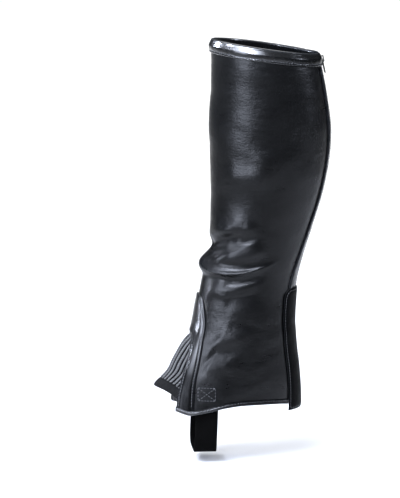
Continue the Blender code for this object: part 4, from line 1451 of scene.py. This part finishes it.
# %% [markdown]
# ## Stirrup strap
#
# A strip of 25 mm elastic is sewn inside the foot edge on each side and hangs below it as a loop.
# Its middle line is a short list of points, and each lane of the strap follows it. The line is smoothed
# between the points, so that the strap bends without corners.

# %% Strap lanes
STRAP_SIDE_VIEW = -75.0
STRAP_OUT = -4.3
STRAP_LEVEL = -354.0
STRAP_HELD = (-284.0, -292.0, -300.0, -308.0)
StrapPoint = namedtuple("StrapPoint", "x height")
STRAP_RUN = [
    StrapPoint(35.2, -319), StrapPoint(34.2, -331), StrapPoint(33.0, -342), StrapPoint(31.3, -349),
    StrapPoint(28.0, -354), StrapPoint(23.0, -356.5), StrapPoint(12.0, -357), StrapPoint(0.0, -357),
]


def strap_held(lane):
    """The lane's points behind the panel, where its end is sewn in."""
    heights = np.array(STRAP_HELD)
    arcs = side_view_arc(np.full_like(heights, STRAP_SIDE_VIEW + lane), heights)
    return place(arcs, heights, STRAP_OUT) / MM


def strap_lane(lane):
    """Points in millimetres along one lane of the strap, from the outer side to the inner side."""
    held = strap_held(lane)
    middle_x = strap_held(0)[-1, 0]
    points = list(held)
    for point in STRAP_RUN:
        keep = float(smoothstep((point.height - STRAP_LEVEL) / (STRAP_HELD[-1] - STRAP_LEVEL)))
        y = lerp(STRAP_SIDE_VIEW + lane, held[-1][1], keep)
        points.append(np.array([point.x + (held[-1][0] - middle_x) * keep, y, point.height]))
    points += [point * (-1, 1, 1) for point in reversed(points[:-1])]
    return np.array(points)


def through(points, at):
    """Points along a smooth curve through the given ones. at runs from 0 to 1."""
    run = at * (len(points) - 1)
    i = np.clip(run.astype(int), 0, len(points) - 2)
    t = (run - i)[:, None]
    before, after = points[np.maximum(i - 1, 0)], points[np.minimum(i + 2, len(points) - 1)]
    start, end = points[i], points[i + 1]
    return 0.5 * (2 * start + (end - before) * t + (2 * before - 5 * start + 4 * end - after) * t ** 2
                  + (3 * start - before - 3 * end + after) * t ** 3)


print("the middle lane passes", len(strap_lane(0)), "points")

# %% Stirrup strap
STRAP_WIDTH = 25.0
STRAP_MAP_LENGTH = 200
STRAP_WALL = 1.8
STRAP_EDGE = 0.5


def make_strap(across=20, along=150):
    bm = new_sheet()
    corners, share, run = flat_grid(bm, across, along)
    lanes = np.array([through(strap_lane(lane), np.linspace(0, 1, along + 1))
                      for lane in np.linspace(-STRAP_WIDTH / 2, STRAP_WIDTH / 2, across + 1)])
    points = lanes[np.rint(share * across).astype(int), np.rint(run * along).astype(int)] * MM
    move_corners(bm, corners, points, share * STRAP_WIDTH, run * STRAP_MAP_LENGTH, 0.0)
    return give_wall(piece_with_map(bm, "foot_strap", [WEBBING_FINISH]), STRAP_WALL, STRAP_EDGE)


strap = make_strap()
finish_piece(strap, "webbing", "stirrup_strap")

# %% [markdown]
# ## Topstitching
#
# Rows of stitches hold the bindings, the facing, the guards and the plackets. A stitch is a small smooth
# lozenge of thread that lies in its groove. Each row is a line of places on the form. The line is walked at
# the stitch pitch, and a stitch is laid along each step, turned to the surface there.

# %% Stitches
STITCH_LENGTH = 2.5
THREAD_WIDTH = 0.75
THREAD_HEIGHT = 0.5
THREAD_RAISE = 0.12


def thread_lozenge():
    bm = bmesh.new()
    bmesh.ops.create_uvsphere(bm, u_segments=6, v_segments=4, radius=0.5)
    bmesh.ops.scale(bm, vec=(THREAD_WIDTH, THREAD_HEIGHT, STITCH_LENGTH), verts=bm.verts)
    return to_mesh(bm, "lozenge")


def stitch_frames(arc, height, out):
    """Frames for the stitches along a row of places."""
    low, high = place(arc, height, out), place(arc, height, out + 1.0)
    length = np.concatenate(([0], np.cumsum(np.linalg.norm(np.diff(low, axis=0), axis=1)))) / MM
    count = max(1, int(length[-1] / STITCH_PITCH))
    marks = (np.arange(count) + 0.5) * length[-1] / count

    def read(points, at):
        return np.stack([np.interp(at, length, points[:, axis]) for axis in range(3)], axis=1)

    middle, above = read(low, marks), read(high, marks)
    ahead, behind = read(low, marks + STITCH_LENGTH / 2), read(low, marks - STITCH_LENGTH / 2)
    frames = []
    for point, over, forward, back in zip(middle, above, ahead, behind):
        along = Vector(forward - back).normalized()
        outward = Vector(over - point)
        frames.append(frame_at(Vector(point), outward.cross(along), outward))
    return frames


stitch_places = []


def sew(arc, height, out):
    stitch_places.extend(stitch_frames(*np.broadcast_arrays(arc, height, np.asarray(out) + THREAD_RAISE)))


print("a stitch is", STITCH_LENGTH, "mm long, and the next one starts", STITCH_PITCH, "mm on")

# %% Rows on the front
ROW_BOTTOM = -303
FACING_ROW_TOP = OPENING_TOP - 5.5
ELASTIC_ROW_TOP = ELASTIC_TOP - 4
FACING_SINK = 0.05


def band_level(band):
    """How far out the bottom of a binding's groove lies from the leather under it."""
    return BINDING_WALL + band_swell(band, band.row) - BAND_GROOVE


def rim_row(side):
    arc = np.linspace(0.01, float(half_girth(RIM_BACK)) - PLACKET_EDGE - 2, 300) * side
    sew(arc, rim_height(arc) - RIM_BAND.row, SEAM_GAP + band_level(RIM_BAND))


def facing_rows(side):
    heights = np.linspace(FACING_ROW_TOP, ROW_BOTTOM, 160)
    sew(side * (facing_outer(heights) - FACING_ROW), heights, FACING_LIFT - FACING_SINK)
    heights = np.linspace(ELASTIC_ROW_TOP, ROW_BOTTOM, 120)
    sew(side * (facing_inner(heights) + FACING_ROW), heights, FACING_LIFT - FACING_SINK)


def hem_row(side):
    share = np.linspace(0.02, 0.98, 200)
    height = meet_hem(lambda level: hem_arc(share, level), share)
    arc = hem_arc(share, height)
    sew(side * arc, height + HEM_BAND.row, hem_hold(arc) + band_level(HEM_BAND))


CROSS_FRONT, CROSS_REAR = -83.8, -65.0
CROSS_TOP, CROSS_BOTTOM = -281.3, -295.3
CROSS_RAISE = 0.1


def strap_cross(side):
    """The box with its cross, which holds the strap's end behind the panel."""
    a, b = (CROSS_FRONT, CROSS_TOP), (CROSS_REAR, CROSS_TOP)
    c, d = (CROSS_REAR, CROSS_BOTTOM), (CROSS_FRONT, CROSS_BOTTOM)
    t = np.linspace(0, 1, 24)
    for start, end in ((a, b), (b, c), (c, d), (d, a), (a, c), (b, d)):
        height = lerp(start[1], end[1], t)
        arc = side * side_view_arc(lerp(start[0], end[0], t), height)
        sew(arc, height, CROSS_RAISE + wander(arc, height))


print("the strap's box is", round(CROSS_REAR - CROSS_FRONT), "by", round(CROSS_TOP - CROSS_BOTTOM), "mm")

# %% Rows down the back
PLACKET_SINK = 0.2
GUARD_SINK = 0.1


def inset_corner(corner):
    return tuple(length - GUARD_ROW for length in corner)


def placket_row(side):
    heights = np.linspace(BACK_TOP - RIM_BAND.outside, GUARD_TOP - 2, 300)
    sew(round_the_back(side, PLACKET_EDGE + PLACKET_ROW, heights), heights, -PLACKET_SINK)


def guard_rows(side):
    front, rear = GUARD_FRONT - GUARD_ROW, GUARD_REAR + GUARD_ROW
    across = np.linspace(front, rear, 60)
    top = GUARD_TOP - GUARD_ROW - corner_cut(across - front, inset_corner(GUARD_TOP_CORNER))
    bottom = GUARD_BOTTOM + GUARD_ROW + corner_cut(rear - across, inset_corner(GUARD_BOTTOM_CORNER))
    front_edge = np.linspace(top[0], bottom[0], 100)
    rear_edge_row = np.linspace(top[-1], bottom[-1], 100)
    for from_back, heights in ((across, top), (across, bottom), (front, front_edge), (rear, rear_edge_row)):
        sew(round_the_back(side, from_back, heights), heights, GUARD_LIFT + THIN_LEATHER - GUARD_SINK)


print("the guards' rows run", GUARD_ROW, "mm inside their edges")

# %% Sew the rows
for side, name in SIDES:
    for row in (rim_row, facing_rows, hem_row, placket_row, guard_rows, strap_cross):
        row(side)

stitches = copies("topstitching", thread_lozenge(), stitch_places, THREAD_FINISH)
finish_piece(stitches, "leather")

# %% [markdown]
# ## Floor
#
# A plain pale floor just below the strap gives the leather something bright to mirror and ends the scene.

# %% Floor
FLOOR_DROP = 0.012
FLOOR_HALF = 9.0


def lay_floor():
    bm = bmesh.new()
    bmesh.ops.create_grid(bm, x_segments=1, y_segments=1, size=FLOOR_HALF)
    bmesh.ops.translate(bm, vec=(0, 0, cad_low.z - FLOOR_DROP), verts=bm.verts)
    board = new_board("floor")
    speckle = board.noise(board.spot(), 0.4, 3)
    paint = board.paint(Base_Color=board.blend(speckle, grey(0.84), grey(0.87)), Roughness=0.8)
    new_piece("floor", to_mesh(bm, "floor"), [paint])
    print("the floor is", round(FLOOR_DROP / MM), "mm under the strap")


lay_floor()
